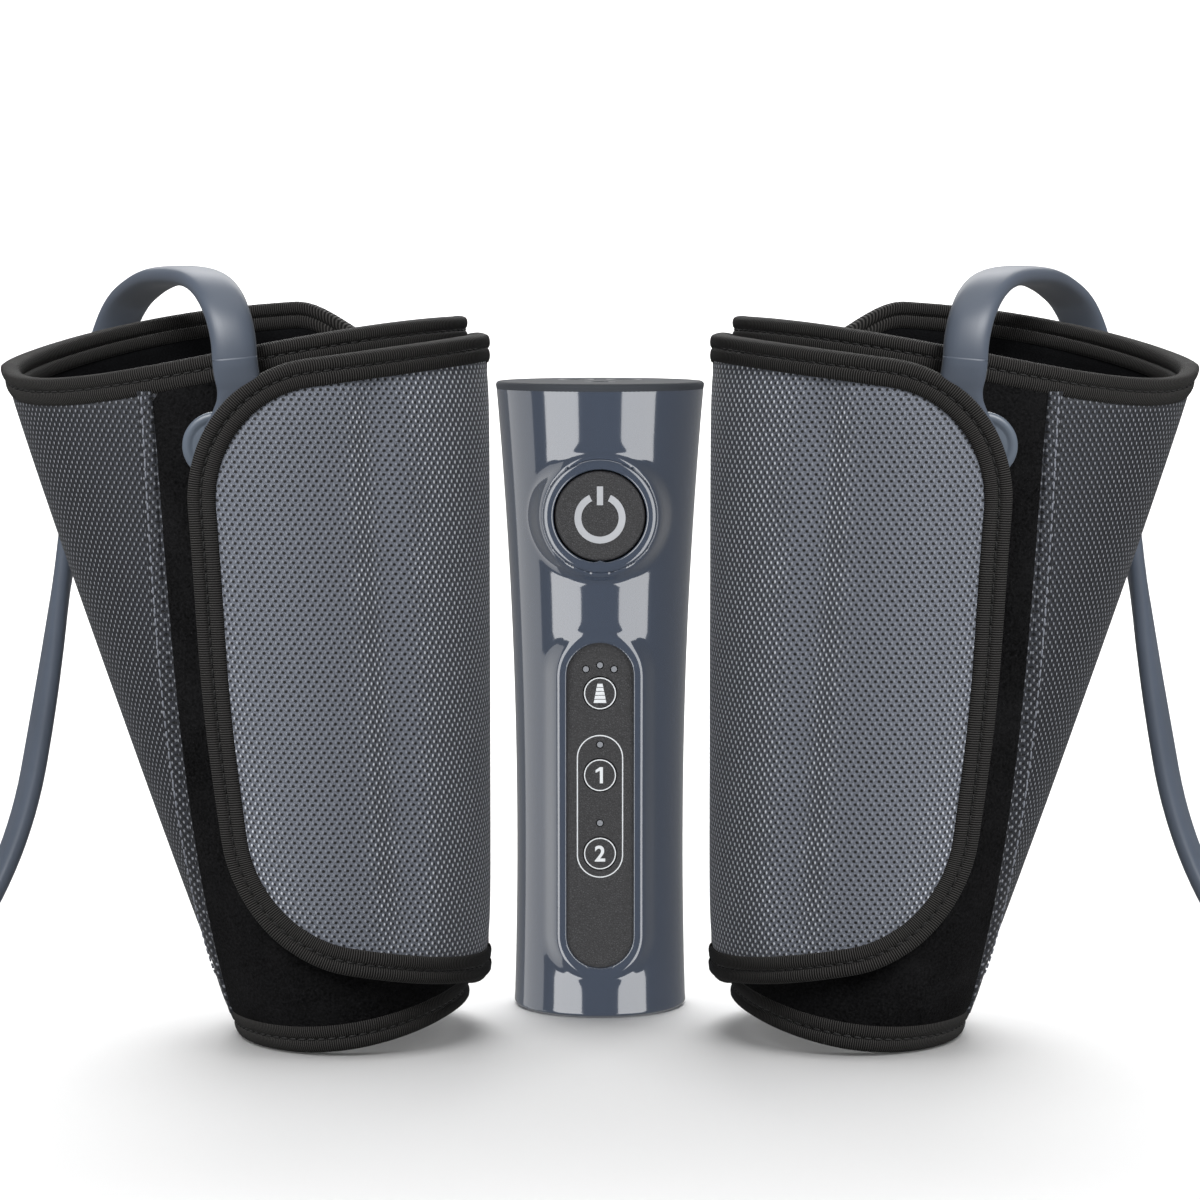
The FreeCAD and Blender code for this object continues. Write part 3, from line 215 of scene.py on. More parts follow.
def mesh_cloth(name, dark, light, steady_painted_glint, painted_glints, sheen):
    """Spacer mesh: staggered dark holes and small threads. The light thread knots carry a painted highlight,
    stronger where the cloth turns away, and the base is painted darker there as painted shade.
    """
    n = Look(name, light, 0.62)
    uv = n.place("UV")
    split = n.add("SeparateXYZ")
    n.link(uv, split.inputs[0])
    u = n.times(split.outputs[0], 1 / MESH_PITCH)
    v = n.times(split.outputs[1], 1 / MESH_ROW)
    row = n.math("FLOOR", v)
    shifted = n.math("ADD", u, n.times(row, MESH_SHIFT))
    across = n.math("SUBTRACT", n.math("FRACT", shifted), 0.5)
    along = n.math("SUBTRACT", n.math("FRACT", v), 0.5)

    def spot(dx, dy, wide, tall):
        x = n.math("DIVIDE", n.math("SUBTRACT", across, dx), wide)
        y = n.math("DIVIDE", n.math("SUBTRACT", along, dy), tall)
        return n.math("SQRT", n.math("ADD", n.math("POWER", x, 2.0), n.math("POWER", y, 2.0)))

    hole = n.math("SUBTRACT", 1.0, spot(-0.12, -0.05, 0.23, 0.36), clamp=True)
    knot = n.math("SUBTRACT", 1.0, spot(0.2, 0.12, 0.17, 0.42), clamp=True)
    hole = n.times(hole, 3.4, clamp=True)
    knot = n.times(knot, 2.2, clamp=True)
    fine = n.noise(uv, 3600.0, 3.0, 0.7)
    broad = n.noise(uv, 90.0, 2.0)
    colour = n.mix(hole, n.ramp(fine, dark, light, 0.32, 0.68), MESH_HOLE)
    facing = n.add("LayerWeight").outputs["Facing"]
    grazing = n.times(n.math("SUBTRACT", facing, 0.03), 3.4, clamp=True)
    # Painted highlight: how strongly the knots are painted in the light colour, a little everywhere and more
    # where the cloth turns away.
    painted_glint_strength = n.math("ADD", steady_painted_glint, n.times(n.times(grazing, broad), painted_glints))
    # Painted shade: the base is painted darker where the cloth turns away.
    colour = n.mix(n.times(grazing, 0.6), colour, dark)
    colour = n.mix(n.times(knot, painted_glint_strength, clamp=True), colour, MESH_KNOT_GLINT)
    relief = n.math("SUBTRACT", n.times(knot, 0.6), hole)
    height = n.math("ADD", relief, n.times(fine, 0.35))
    normal = n.bump(height, 0.75, 0.0006)
    return n.finish(Base_Color=colour, Normal=normal, Sheen_Weight=sheen, Sheen_Roughness=0.4)


TAPE_RIB, TAPE_MIDDLE = 0.0007, (0.012, 0.012, 0.013)
TAPE_DARK, TAPE_LIGHT = (0.0008, 0.0008, 0.0008), (0.045, 0.043, 0.041)


def tape_cloth():
    """Black grosgrain binding: fine ribs across the tape."""
    n = Look("binding_tape", TAPE_MIDDLE, 0.7)
    uv = n.place("UV")
    split = n.add("SeparateXYZ")
    n.link(uv, split.inputs[0])
    rib = n.math("SINE", n.times(split.outputs[0], 2 * math.pi / TAPE_RIB))
    rib = n.math("ADD", 0.5, n.times(rib, 0.5))
    fine = n.noise(uv, 2500.0, 3.0, 0.7)
    mixed = n.blend(rib, 0.7, fine, 0.45)
    colour = n.ramp(mixed, TAPE_DARK, TAPE_LIGHT, 0.35, 0.95)
    return n.finish(Base_Color=colour, Normal=n.bump(mixed, 1.0, 0.0004), Specular_IOR_Level=0.2)


def pile_cloth(name, dark, light, scale):
    """Black brushed loop pile."""
    n = Look(name, dark, 0.95)
    where = n.place("Object")
    fine = n.noise(where, scale, 4.0, 0.75)
    broad = n.noise(where, scale / 30, 2.0)
    colour = n.ramp(n.blend(fine, 0.8, broad, 0.3), dark, light, 0.4, 0.85)
    return n.finish(Base_Color=colour, Normal=n.bump(fine, 0.9, 0.0006), Specular_IOR_Level=0.06)


def smooth_stuff(name, colour, roughness, grain=900.0, depth=0.00003, spread=0.1, coat=0.0):
    """Moulded plastic, rubber or thread: a fine grain and a faint change of colour."""
    n = Look(name, colour, roughness)
    where = n.place("Object")
    broad = n.noise(where, 28.0, 3.0)
    fine = n.noise(where, grain, 3.0, 0.6)
    low = tuple(c * (1 - spread) for c in colour)
    high = tuple(c * (1 + spread) for c in colour)
    return n.finish(
        Base_Color=n.ramp(broad, low, high, 0.3, 0.7),
        Normal=n.bump(fine, 0.35, depth),
        Specular_IOR_Level=0.5 + coat / 2,
        Coat_Weight=coat,
        Coat_Roughness=0.05,
    )


def sparked_plastic(name, low, high, scale):
    """Black plastic with a spark-eroded grain."""
    n = Look(name, low, 0.55)
    where = n.place("Object")
    cell = n.add("TexVoronoi", feature="DISTANCE_TO_EDGE")
    n.fill(cell, Vector=where, Scale=scale)
    fine = n.noise(where, scale * 1.7, 3.0, 0.7)
    mixed = n.blend(cell.outputs["Distance"], 0.9, fine, 0.6)
    return n.finish(Base_Color=n.ramp(mixed, low, high, 0.3, 0.9), Normal=n.bump(mixed, 0.8, 0.00025))


MESH = mesh_cloth("spacer_mesh", (0.028, 0.032, 0.043), (0.2, 0.22, 0.268), 0.16, 3.4, 0.25)
# The wrap cover's mesh is the flap's spacer mesh painted darker as painted shade, with an even painted
# highlight on its knots.
SHADED_WRAP_MESH = mesh_cloth("shaded_wrap_mesh", (0.004, 0.005, 0.008), (0.034, 0.039, 0.053), 0.24, 0.1, 0.02)
TAPE = tape_cloth()
LOOP = pile_cloth("loop_pile", (0.0004, 0.0004, 0.0005), (0.016, 0.016, 0.017), 1300.0)
LINING = pile_cloth("brushed_lining", (0.002, 0.002, 0.0024), (0.009, 0.0095, 0.0105), 1900.0)
MESH_THREAD = smooth_stuff("grey_thread", (0.16, 0.17, 0.2), 0.6, 4000.0, 0.00004)
THREAD = smooth_stuff("thread", (0.002, 0.002, 0.002), 0.75, 4000.0, 0.00004)
HOSE = smooth_stuff("hose_rubber", (0.06, 0.074, 0.1), 0.45, 1500.0, 0.00003, 0.08)
FITTING = smooth_stuff("fitting_plastic", (0.085, 0.105, 0.135), 0.4, 700.0, 0.00002, 0.12)
PLUG = smooth_stuff("plug_plastic", (0.03, 0.034, 0.042), 0.45, 1200.0, 0.00003)
BODY = smooth_stuff("body_plastic", (0.028, 0.039, 0.062), 0.1, 1400.0, 0.000001, 0.02, 1.0)
GRAINED = sparked_plastic("grained_black", (0.004, 0.004, 0.005), (0.05, 0.05, 0.055), 1500.0)
PRINT = smooth_stuff("white_print", (0.62, 0.64, 0.66), 0.5, 2000.0, 0.00001, 0.04)
SILVER = smooth_stuff("silver_mark", (0.36, 0.37, 0.39), 0.35, 2000.0, 0.00001, 0.15)
CAP = smooth_stuff("cap_plastic", (0.02, 0.024, 0.031), 0.75, 1400.0, 0.00002)
LAMP = smooth_stuff("lamp_window", (0.2, 0.21, 0.23), 0.35, 2000.0, 0.00001, 0.05)


# Mesh helpers
scene = bpy.context.scene


def add_object(name, data):
    made = bpy.data.objects.new(name, data)
    scene.collection.objects.link(made)
    return made


def smooth_mesh(name, points, faces, look):
    mesh = bpy.data.meshes.new(name)
    mesh.from_pydata(points, [], faces)
    mesh.polygons.foreach_set("use_smooth", [True] * len(mesh.polygons))
    mesh.validate()
    mesh.materials.append(look)
    return mesh


def build(name, points, faces, look, body, replaced=(), uv=None, mirrored=False):
    """A smooth-shaded piece that rides on a body. Points are in millimetres, uv in metres."""
    points = on_side(points, mirrored)
    if mirrored:
        faces = [tuple(f)[::-1] for f in faces]
    mesh = smooth_mesh(name, points.tolist(), [tuple(int(i) for i in f) for f in faces], look)
    if uv is not None:
        layer = mesh.uv_layers.new(name="cloth")
        corner = np.empty(len(mesh.loops), int)
        mesh.loops.foreach_get("vertex_index", corner)
        layer.data.foreach_set("uv", np.asarray(uv, float)[corner].ravel())
    piece = add_object(name, mesh)
    if body in frame["bodies"]:
        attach(piece, body)
    if replaced:
        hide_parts(*replaced)
    return piece


def grid_faces(rows, columns, wrap_columns=False, start=0):
    """Faces of a grid of points stored row by row."""
    faces = []
    last = columns if wrap_columns else columns - 1
    for r in range(rows - 1):
        here = start + r * columns
        for c in range(last):
            d = (c + 1) % columns
            faces.append((here + c, here + d, here + columns + d, here + columns + c))
    return faces


def tube(rings):
    """Points and faces of closed rings joined in a row, with both ends closed."""
    rows, columns = len(rings), len(rings[0])
    faces = grid_faces(rows, columns, True)
    faces.append(tuple(range(columns))[::-1])
    faces.append(tuple(range((rows - 1) * columns, rows * columns)))
    return np.concatenate(rings), faces


def turns_of(count):
    """Angles once round a circle."""
    return np.arange(count) * 2 * math.pi / count


def oval_ring(middle, across, through, width, thickness, count=28, power=2.6):
    """A flattened ring of points about a middle, set by two unit vectors."""
    ring = np.stack([np.cos(turns_of(count)), np.sin(turns_of(count))], -1)
    ring = np.copysign(np.abs(ring) ** (2 / power), ring) * (width / 2, thickness / 2)
    return middle + ring[:, :1] * across + ring[:, 1:] * through


def loop_edges(start, count):
    return [(start + i, start + (i + 1) % count) for i in range(count)]


def filled(points, edges, keep, close):
    """Flat points and the triangles between them, with some edges held."""
    flat, _, faces, *_ = delaunay_2d_cdt([Vector(p) for p in points], edges, [], keep, close)
    return np.array([tuple(p) for p in flat]), [tuple(f) for f in faces]


def run_along(line):
    """Distance from the first point, at each point of a line."""
    return np.concatenate([[0], np.cumsum(np.linalg.norm(np.diff(line, axis=0), axis=1))])


def unit(vectors):
    """One vector, or each row of several, scaled to length 1."""
    return vectors / np.maximum(np.linalg.norm(vectors, axis=-1, keepdims=True), 1e-6)


def bell(value, middle, spread):
    """A smooth bump of height 1."""
    return np.exp(-(((value - middle) / spread) ** 2))


def on_side(points, mirrored):
    """Millimetres on the left side as metres on either side."""
    return np.asarray(points, float) * (-MM if mirrored else MM, MM, MM)


def smoothstep(share):
    share = np.clip(share, 0, 1)
    return share * share * (3 - 2 * share)


# The rolled sheet of a wrap
def lap(angle):
    return FLAP_OUT * smoothstep((np.asarray(angle, float) - LAP_START) / (LAP_END - LAP_START))


def cone_centre(z):
    share = np.asarray(z, float) / WRAP_HEIGHT
    left = LEFT_FOOT + share * (LEFT_TOP - LEFT_FOOT)
    return (WRAP_RIGHT + left) / 2, (WRAP_RIGHT - left) / 2


def cone(angle, out, z):
    """Points of the cone at angles in degrees and heights, moved out from its surface."""
    centre, half_width = cone_centre(z)
    turn = np.radians(angle)
    x = centre + (half_width + out) * np.cos(turn)
    y = WRAP_Y - (HALF_DEPTH + out) * np.sin(turn)
    return np.stack(np.broadcast_arrays(x, y, np.asarray(z, float)), -1)


def rim_height(x, y, angle):
    r = np.clip((y - WRAP_Y) / RIM_REACH, -1, 1)
    lift = RIM_LIFT * (0.125 + 0.5 * r + 0.375 * r * r)
    return RIM_LEFT + RIM_SLOPE * (x - LEFT_TOP) + lift + rim_wave(angle) - rim_drop(angle)


def rim_wave(angle):
    """The front rim sags a little at the left and stands up towards the fold."""
    turn = np.radians(np.clip(angle, 0, 180))
    return WAVE * np.sin(2 * turn) - SAG * np.sin(turn)


def rim_drop(angle):
    """The back rim dips behind the front one, on the outer lap and on the inner end of the sheet."""
    down = BACK_DROP * smoothstep((angle - BACK_START) / BACK_RUN)
    up = (BACK_DROP - FOLD_DROP) * smoothstep((angle - FOLD_START) / FOLD_RUN)
    inner = BACK_DROP * smoothstep(-angle / INNER_RUN)
    return down - up + inner


def foot_height(x, y, angle):
    run = np.clip(x - FOOT_FLAT_END, 0, None)
    rise = FOLD_RISE * smoothstep((angle - FOLD + FOLD_RISE_RUN) / FOLD_RISE_RUN)
    return FOOT_LEVEL + FOOT_BEND - np.sqrt(FOOT_BEND**2 - run**2) + rise


def edge_height(angle, out, rule, start):
    """Where the sheet meets a rim at each angle."""
    z = np.full(np.shape(angle), start, float)
    for _ in range(12):
        p = cone(angle, out, z)
        z = rule(p[..., 0], p[..., 1], np.asarray(angle, float))
    return z


def rim_edge(angle, out):
    return edge_height(angle, out, rim_height, 205.0)


def foot_edge(angle, out):
    return edge_height(angle, out, foot_height, 5.0)


def between_hems(angle, out, under):
    """Foot and head of a cloth that reaches a little way under both hems."""
    inset = TAPE_WIDTH - under
    return foot_edge(angle, out) + inset, rim_edge(angle, out) - inset


ARC_ANGLES = np.arange(-90.0, 541.0, 1.0)
ARC_LEVELS = np.linspace(-10.0, 240.0, 11)
ARC_TABLE = []
for level in ARC_LEVELS:
    line = cone(ARC_ANGLES, FLAP_OUT / 2, np.full(ARC_ANGLES.shape, level))
    length = run_along(line)
    ARC_TABLE.append(length - np.interp(0, ARC_ANGLES, length))
ARC_TABLE = np.array(ARC_TABLE)


def arc_row(z):
    """Arc length from angle 0, for each tabled angle, at one height."""
    at = np.clip((z - ARC_LEVELS[0]) / (ARC_LEVELS[1] - ARC_LEVELS[0]), 0, len(ARC_LEVELS) - 1.001)
    low = int(at)
    return ARC_TABLE[low] * (1 - (at - low)) + ARC_TABLE[low + 1] * (at - low)


def arc_of(angle, z):
    return np.array([np.interp(a, ARC_ANGLES, arc_row(h)) for a, h in zip(np.ravel(angle), np.ravel(z))])


def angle_of(arc, z):
    return np.array([np.interp(a, arc_row(h), ARC_ANGLES) for a, h in zip(np.ravel(arc), np.ravel(z))])


SIDES = (("left", False), ("right", True))


def both(name, points, faces, look, replaced=(), uv=None, body="wrap"):
    """The same piece for the left wrap and, mirrored, for the right one."""
    made = []
    for side, mirrored in SIDES:
        nodes = [f"{side}_{node}" for node in replaced]
        piece = build(f"{side}_{name}", points, faces, look, f"{side}_{body}", nodes, uv, mirrored)
        made.append(piece)
    return made


def thick_sheet(out_face, in_face, rows, columns=146):
    """A closed sheet between two faces and the two hems: points, faces and uv."""
    angles = np.linspace(-INNER_LAP, FOLD, columns)
    foot, head = between_hems(angles, lap(angles), SHEET_UNDER)
    share = np.linspace(0, 1, rows)[:, None]
    z = foot[None, :] + (head - foot)[None, :] * share
    a = np.broadcast_to(angles[None, :], z.shape)
    outer = cone(a, lap(a) + out_face(a, share), z).reshape(-1, 3)
    inner = cone(a, lap(a) + in_face(a, share), z).reshape(-1, 3)
    count = rows * columns
    faces = [f[::-1] for f in grid_faces(rows, columns)]
    faces += grid_faces(rows, columns, start=count)
    border = list(range(columns)) + [r * columns + columns - 1 for r in range(1, rows)]
    border += [count - 1 - c for c in range(1, columns)] + [r * columns for r in range(rows - 2, 0, -1)]
    for i, first in enumerate(border):
        second = border[(i + 1) % len(border)]
        faces.append((first, second, second + count, first + count))
    uv = np.stack([arc_of(a, z), z.ravel()], -1) * MM
    return np.concatenate([outer, inner]), faces, np.concatenate([uv, uv])


# Cover and lining of the wraps
def soft_swell(angle, share):
    """A slight swell of the air chamber between the two hems, most of all at the outer side."""
    height = np.sin(np.pi * share) ** 0.7
    side = SIDE_SWELL * bell(angle, SIDE_AT, SIDE_SPREAD)
    return height * (0.5 + 0.25 * np.sin(np.radians(angle) * 5 + 4 * share) + side) - 0.3


points, faces, uv = thick_sheet(soft_swell, lambda a, s: -STACK / 2, 50)
covers = both("cover_cloth", points, faces, SHADED_WRAP_MESH, ["wrap_cover"], uv)
points, faces, uv = thick_sheet(lambda a, s: -STACK / 2 - 0.1, lambda a, s: -STACK - soft_swell(a, s), 40)
linings = both("lining_cloth", points, faces, LINING, ["wrap_lining", "wrap_bladder"], uv)

# Loop panel on the front
LOOP_ROWS, LOOP_COLUMNS, SEAM_ROWS = 60, 40, 90
SEAM_FOOT, SEAM_TOP, SEWN_IN, FOLD_LIFT = 150.0, 110.0, -0.2, 0.25


def seam_x(z):
    """The loop panel's seam, bowed to the left."""
    share = z / RIM_LEFT
    bow = 4 * share * (1 - share) * (SEAM_BOW_FOOT + (SEAM_BOW_TOP - SEAM_BOW_FOOT) * share)
    return LOOP_FOOT + (LOOP_TOP - LOOP_FOOT) * share - bow


def angle_at(x, z, out):
    """The angle on the front at which a layer has an X place."""
    centre, half_width = cone_centre(z)
    return np.degrees(np.arccos(np.clip((x - centre) / (half_width + out), -1, 1)))


def seam_line(shift=0.0, count=LOOP_ROWS):
    """Angles and heights along the slanting seam, from the foot hem to the top hem."""
    feet, heads = between_hems(np.array([SEAM_FOOT, SEAM_TOP]), 0.0, LOOP_UNDER)
    z = np.linspace(feet[0], heads[1], count)
    return angle_at(seam_x(z) + shift, z, 0.0), z


loop_rows = []
left_angles, _ = seam_line()
share = np.linspace(0, 1, LOOP_COLUMNS)
last_row = LOOP_ROWS - 1
for i in range(LOOP_ROWS):
    angle = LOOP_RIGHT + (left_angles[i] - LOOP_RIGHT) * share
    foot, head = between_hems(angle, 0.0, LOOP_UNDER)
    z = foot + (head - foot) * i / last_row
    sewn_down = (i in (0, last_row)) | (np.arange(LOOP_COLUMNS) == LOOP_COLUMNS - 1)
    out = np.where(sewn_down, SEWN_IN, LOOP_PILE) + soft_swell(angle, i / last_row) * 0.3
    loop_rows.append(cone(angle, out, z))
points = np.concatenate(loop_rows)
faces = [f[::-1] for f in grid_faces(LOOP_ROWS, LOOP_COLUMNS)]
both("loop_cloth", points, faces, LOOP, ["wrap_loop_panel"])


# The cover's folded and stitched edge along the loop panel
FOLD_SECTION = [(-4.2, -0.3), (-4.0, 0.3), (-3.2, 0.6), (-1.6, 0.75), (-0.4, 0.7), (0.15, 0.45), (0.2, -0.3)]
columns = []
for shift, out in FOLD_SECTION:
    angle, z = seam_line(shift, SEAM_ROWS)
    columns.append(cone(angle, out + FOLD_LIFT, z))
points = np.stack(columns, 1)
faces = grid_faces(SEAM_ROWS, len(FOLD_SECTION))
fold_uv = [(shift * MM, height * MM) for height in z for shift, _ in FOLD_SECTION]
both("seam_fold", points.reshape(-1, 3), faces, SHADED_WRAP_MESH, (), fold_uv)


# Binding tape: a section of (distance from the edge, out) swept along an edge
def tape_section(out_face, in_face, width=TAPE_WIDTH):
    """Two soft ribs on each face with the stitch groove between them, folded round the edge."""
    face = [(1.02, -0.5), (0.98, 0.15), (0.86, 0.5), (0.74, 0.6), (0.62, 0.48), (0.56, 0.15), (0.53, -0.4)]
    face += [(0.48, -0.4), (0.45, 0.15), (0.38, 0.5), (0.26, 0.62), (0.14, 0.5)]
    middle, half = (out_face + in_face) / 2, (out_face - in_face) / 2
    section = [(d * width, out_face + o) for d, o in face]
    for i in range(1, 8):
        turn = math.pi * i / 8
        section.append((width * 0.12 * (1 - 1.1 * math.sin(turn)), middle + (half + 0.35) * math.cos(turn)))
    section += [(d * width, in_face - o) for d, o in face[::-1]]
    return section


def swept_tape(name, points, flip, run, body, node):
    """Tape from points in rows along an edge and columns round its section, with both ends closed."""
    rows, columns = points.shape[:2]
    faces = grid_faces(rows, columns, True)
    if flip:
        faces = [f[::-1] for f in faces]
    faces += [tuple(range(columns)), tuple(range((rows - 1) * columns, rows * columns))[::-1]]
    uv = [(distance * MM, column * MM) for distance in run for column in range(columns)]
    return both(name, points.reshape(-1, 3), faces, TAPE, [node], uv, body)


def hem(name, edge_rule, sign, node):
    """Binding tape along the top rim or the foot of the wrap."""
    angles = np.linspace(-INNER_LAP, FOLD, 220)
    section = tape_section(0.0, -STACK)
    edge = edge_rule(angles, lap(angles) - STACK / 2)
    points = np.stack([cone(angles, lap(angles) + out, edge - sign * d) for d, out in section], 1)
    swept_tape(name, points, sign > 0, arc_of(angles, edge), "wrap", node)
    groove = cone(angles, lap(angles) - 0.1, edge - sign * STITCH_INSET * TAPE_WIDTH)
    stitch_line(name + "_stitches", groove, "wrap")


STITCH_LENGTH, STITCH_STEP, STITCH_HALF, STITCH_INSET = 2.3, 3.1, 0.32, 0.505


def stitch_line(name, line, body, look=THREAD):
    """Short threads along a line of points."""
    run = run_along(line)

    def at(distance):
        return np.array([np.interp(distance, run, line[:, k]) for k in range(3)])

    points, faces = [], []
    for begin in np.arange(1.0, run[-1] - STITCH_LENGTH, STITCH_STEP):
        way = unit(at(begin + STITCH_LENGTH) - at(begin))
        side = unit(np.cross(way, (0, 0, 1.0) if abs(way[2]) < 0.9 else (0, 1.0, 0)))
        up = np.cross(side, way)
        rings = []
        for share, thick in ((0, 0.35), (0.2, 1.0), (0.8, 1.0), (1, 0.35)):
            size = 2 * STITCH_HALF * thick
            rings.append(oval_ring(at(begin + share * STITCH_LENGTH), side, up, size, size, 6, 2.0))
        ring_points, ring_faces = tube(rings)
        shift = sum(len(p) for p in points)
        faces += [tuple(i + shift for i in f) for f in ring_faces]
        points.append(ring_points)
    both(name, np.concatenate(points), faces, look, body=body)


angle, z = seam_line(-2.6, 120)
stitch_line("seam_stitches", cone(angle, 1.0, z), "wrap", MESH_THREAD)
hem("top_tape", rim_edge, 1, "wrap_top_binding")
hem("foot_tape", foot_edge, -1, "wrap_foot_binding")


# Flap, worked out flat: across is the arc length from the fold, and height is Z
def rounded_outline():
    """The flap's free edges in X and Z, from the fold at the top round to the fold at the foot."""
    fold_x = WRAP_RIGHT + FLAP_OUT
    corners = [(fold_x, FLAP_FOLD_TOP, 0.0), *FLAP_CORNERS, (fold_x, FLAP_FOLD_FOOT, 0.0)]
    line = [np.array(corners[0][:2])]
    for before, (*here, radius), after in zip(corners, corners[1:], corners[2:]):
        into, out = unit(np.array([before[:2], after[:2]]) - here)
        half = math.acos(into @ out) / 2
        reach = radius / math.tan(half)
        middle = here + unit(into + out) * radius / math.sin(half)
        start, end = here + into * reach - middle, here + out * reach - middle
        sweep = math.pi - 2 * half
        for i in range(17):
            share = i / 16
            turned = (math.sin((1 - share) * sweep) * start + math.sin(share * sweep) * end) / math.sin(sweep)
            line.append(middle + turned)
    line.append(np.array(corners[-1][:2]))
    line = even(np.array(line), 1.5)
    bow = EDGE_BOW * bell(line[:, 1], EDGE_BOW_AT, EDGE_BOW_SPREAD)
    line[:, 0] -= bow * (line[:, 0] < -90)
    return line


def even(line, step):
    """Points at equal steps along a line."""
    run = run_along(line)
    count = max(2, round(run[-1] / step))
    at = np.linspace(0, run[-1], count + 1)
    return np.stack([np.interp(at, run, line[:, k]) for k in range(line.shape[1])], -1)


outline = rounded_outline()
edge_x, edge_z = outline.T
flat_edge = np.stack([arc_of(angle_at(edge_x, edge_z, FLAP_OUT), edge_z), edge_z], -1)
flat_edge[0, 0] = flat_edge[-1, 0] = 0.0
flat_edge = even(flat_edge, 1.6)
edge_way = unit(np.gradient(flat_edge, axis=0))
inward = np.stack([edge_way[:, 1], -edge_way[:, 0]], -1)


def edge_distance(points):
    """How far points lie from the flap's free edge."""
    best = np.full(len(points), 1e9)
    for first, second in zip(flat_edge[:-1], flat_edge[1:]):
        along = second - first
        share = np.clip(((points - first) @ along) / (along @ along), 0, 1)
        best = np.minimum(best, np.linalg.norm(points - first - share[:, None] * along, axis=1))
    return best


def flap_points(flat, out):
    return cone(angle_of(flat[:, 0], flat[:, 1]), out, flat[:, 1])


def flap_front(flat):
    """How far out the flap's padded front lies: drawn in at the tape, crowned, with one soft crease."""
    d = edge_distance(flat)
    crown = 1 - np.exp(-np.clip(d - TAPE_WIDTH + 1, 0, None) / CROWN_RUN)
    place = flap_points(flat, FLAP_OUT)
    height = (flat[:, 1] - CREASE_MIDDLE) / CREASE_HALF
    ridge_x = RIDGE_X + RIDGE_LEAN * height
    valley_x = ridge_x + VALLEY_RUN
    down = smoothstep((place[:, 0] - ridge_x) / VALLEY_RUN)
    up = smoothstep((place[:, 0] - valley_x) / RISE_RUN)
    bulge = BULGE * bell(place[:, 0], ridge_x - BULGE_BESIDE, BULGE_SPREAD)
    return FLAP_OUT - TAPE_DIP + crown * (CROWN_RISE - VALLEY_DEPTH * (down - up) + bulge)


# The flap's points: a line just inside its edge, one along the tape's inner edge, and an even grid
step = 2.6
grid_u, grid_z = np.meshgrid(np.arange(step, flat_edge[:, 0].max(), step), np.arange(14.0, 212.0, step))
inside = np.stack([grid_u.ravel(), grid_z.ravel()], -1)
keep = edge_distance(inside) > TAPE_WIDTH + 0.4 * step
loop_line = flat_edge + inward * 2.0
fold_line = np.stack([np.zeros(70), np.linspace(loop_line[-1, 1], loop_line[0, 1], 72)[1:-1]], -1)
loop_line[0, 0] = loop_line[-1, 0] = 0.0
inner_line = even(flat_edge + inward * TAPE_WIDTH, 2.0)
inner_line = inner_line[inner_line[:, 0] > 0.5]
boundary = np.concatenate([loop_line, fold_line])
all_points = np.concatenate([boundary, inner_line, inside[keep]])
flat, flat_faces = filled(all_points, loop_edges(0, len(boundary)), 1, 0.01)
flat_faces = [f[::-1] for f in flat_faces]


def flap_pad(front, back):
    """A pad with the flap's outline on its front and back: points and faces."""
    count = len(flat)
    edges = dict.fromkeys((a, b) for f in flat_faces for a, b in zip(f, f[1:] + f[:1]))
    sides = [(b, a, a + count, b + count) for a, b in edges if (b, a) not in edges]
    behind = [tuple(i + count for i in f[::-1]) for f in flat_faces]
    return np.concatenate([flap_points(flat, out) for out in (front, back)]), flat_faces + behind + sides


def bend_at_fold(pieces):
    """Bakes each flap piece's placement into its mesh and sets the piece at the origin."""
    for piece, (side, mirrored) in zip(pieces, SIDES):
        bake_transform(piece)


cloth_uv = np.concatenate([flat, flat]) * MM
points, faces = flap_pad(flap_front(flat), FLAP_IN + FLAP_SPLIT)
covered = ["flap_cover", "flap_padding"]
pads = both("flap_cloth", points, faces, MESH, covered, cloth_uv, "fold")
points, faces = flap_pad(FLAP_IN + FLAP_SPLIT - 0.1, FLAP_IN)
lined = ["flap_lining"]
flap_linings = both("flap_lining_cloth", points, faces, LINING, lined, cloth_uv, "fold")
bend_at_fold(pads)
bend_at_fold(flap_linings)

section = tape_section(FLAP_OUT - 0.1, FLAP_IN)
points = np.stack([flap_points(flat_edge + inward * d, out) for d, out in section], 1)
bend_at_fold(swept_tape("flap_tape", points, True, run_along(flat_edge), "fold", "flap_binding"))
stitch_path = flat_edge + inward * (STITCH_INSET * TAPE_WIDTH)
stitch_path = stitch_path[stitch_path[:, 0] > 10]
stitch_line("flap_tape_stitches", flap_points(stitch_path, FLAP_OUT - 0.2), "flap")


# Hoses: a flat tube along the route's smooth line
def read_curve(name, curve):
    """Points and faces of a curve's own mesh. The curve is dropped after that."""
    holder = add_object(name, curve)
    mesh = bpy.data.meshes.new_from_object(holder)
    points = np.array([v.co[:] for v in mesh.vertices])
    faces = [tuple(p.vertices) for p in mesh.polygons]
    bpy.data.objects.remove(holder)
    bpy.data.curves.remove(curve)
    bpy.data.meshes.remove(mesh)
    return points, faces


def smooth_line(name, points):
    """Points read from a route's own spline."""
    curve = bpy.data.curves.new(name, "CURVE")
    curve.dimensions = "3D"
    curve.resolution_u = 10
    spline = curve.splines.new("NURBS")
    spline.points.add(len(points) - 1)
    for point, place in zip(spline.points, points):
        point.co = (*[c * MM for c in place], 1)
    spline.order_u = 3
    spline.use_endpoint_u = True
    line, _ = read_curve(name, curve)
    return line / MM


def flat_tube(line, side, width, thicknesses):
    """A flat tube along a line, its width held to the given side."""
    way = unit(np.gradient(line, axis=0))
    across = unit(side - way * np.sum(side * way, axis=1)[:, None])
    rows = zip(line, across, np.cross(way, across), thicknesses)
    return tube([oval_ring(p, a, t, width, thick) for p, a, t, thick in rows])


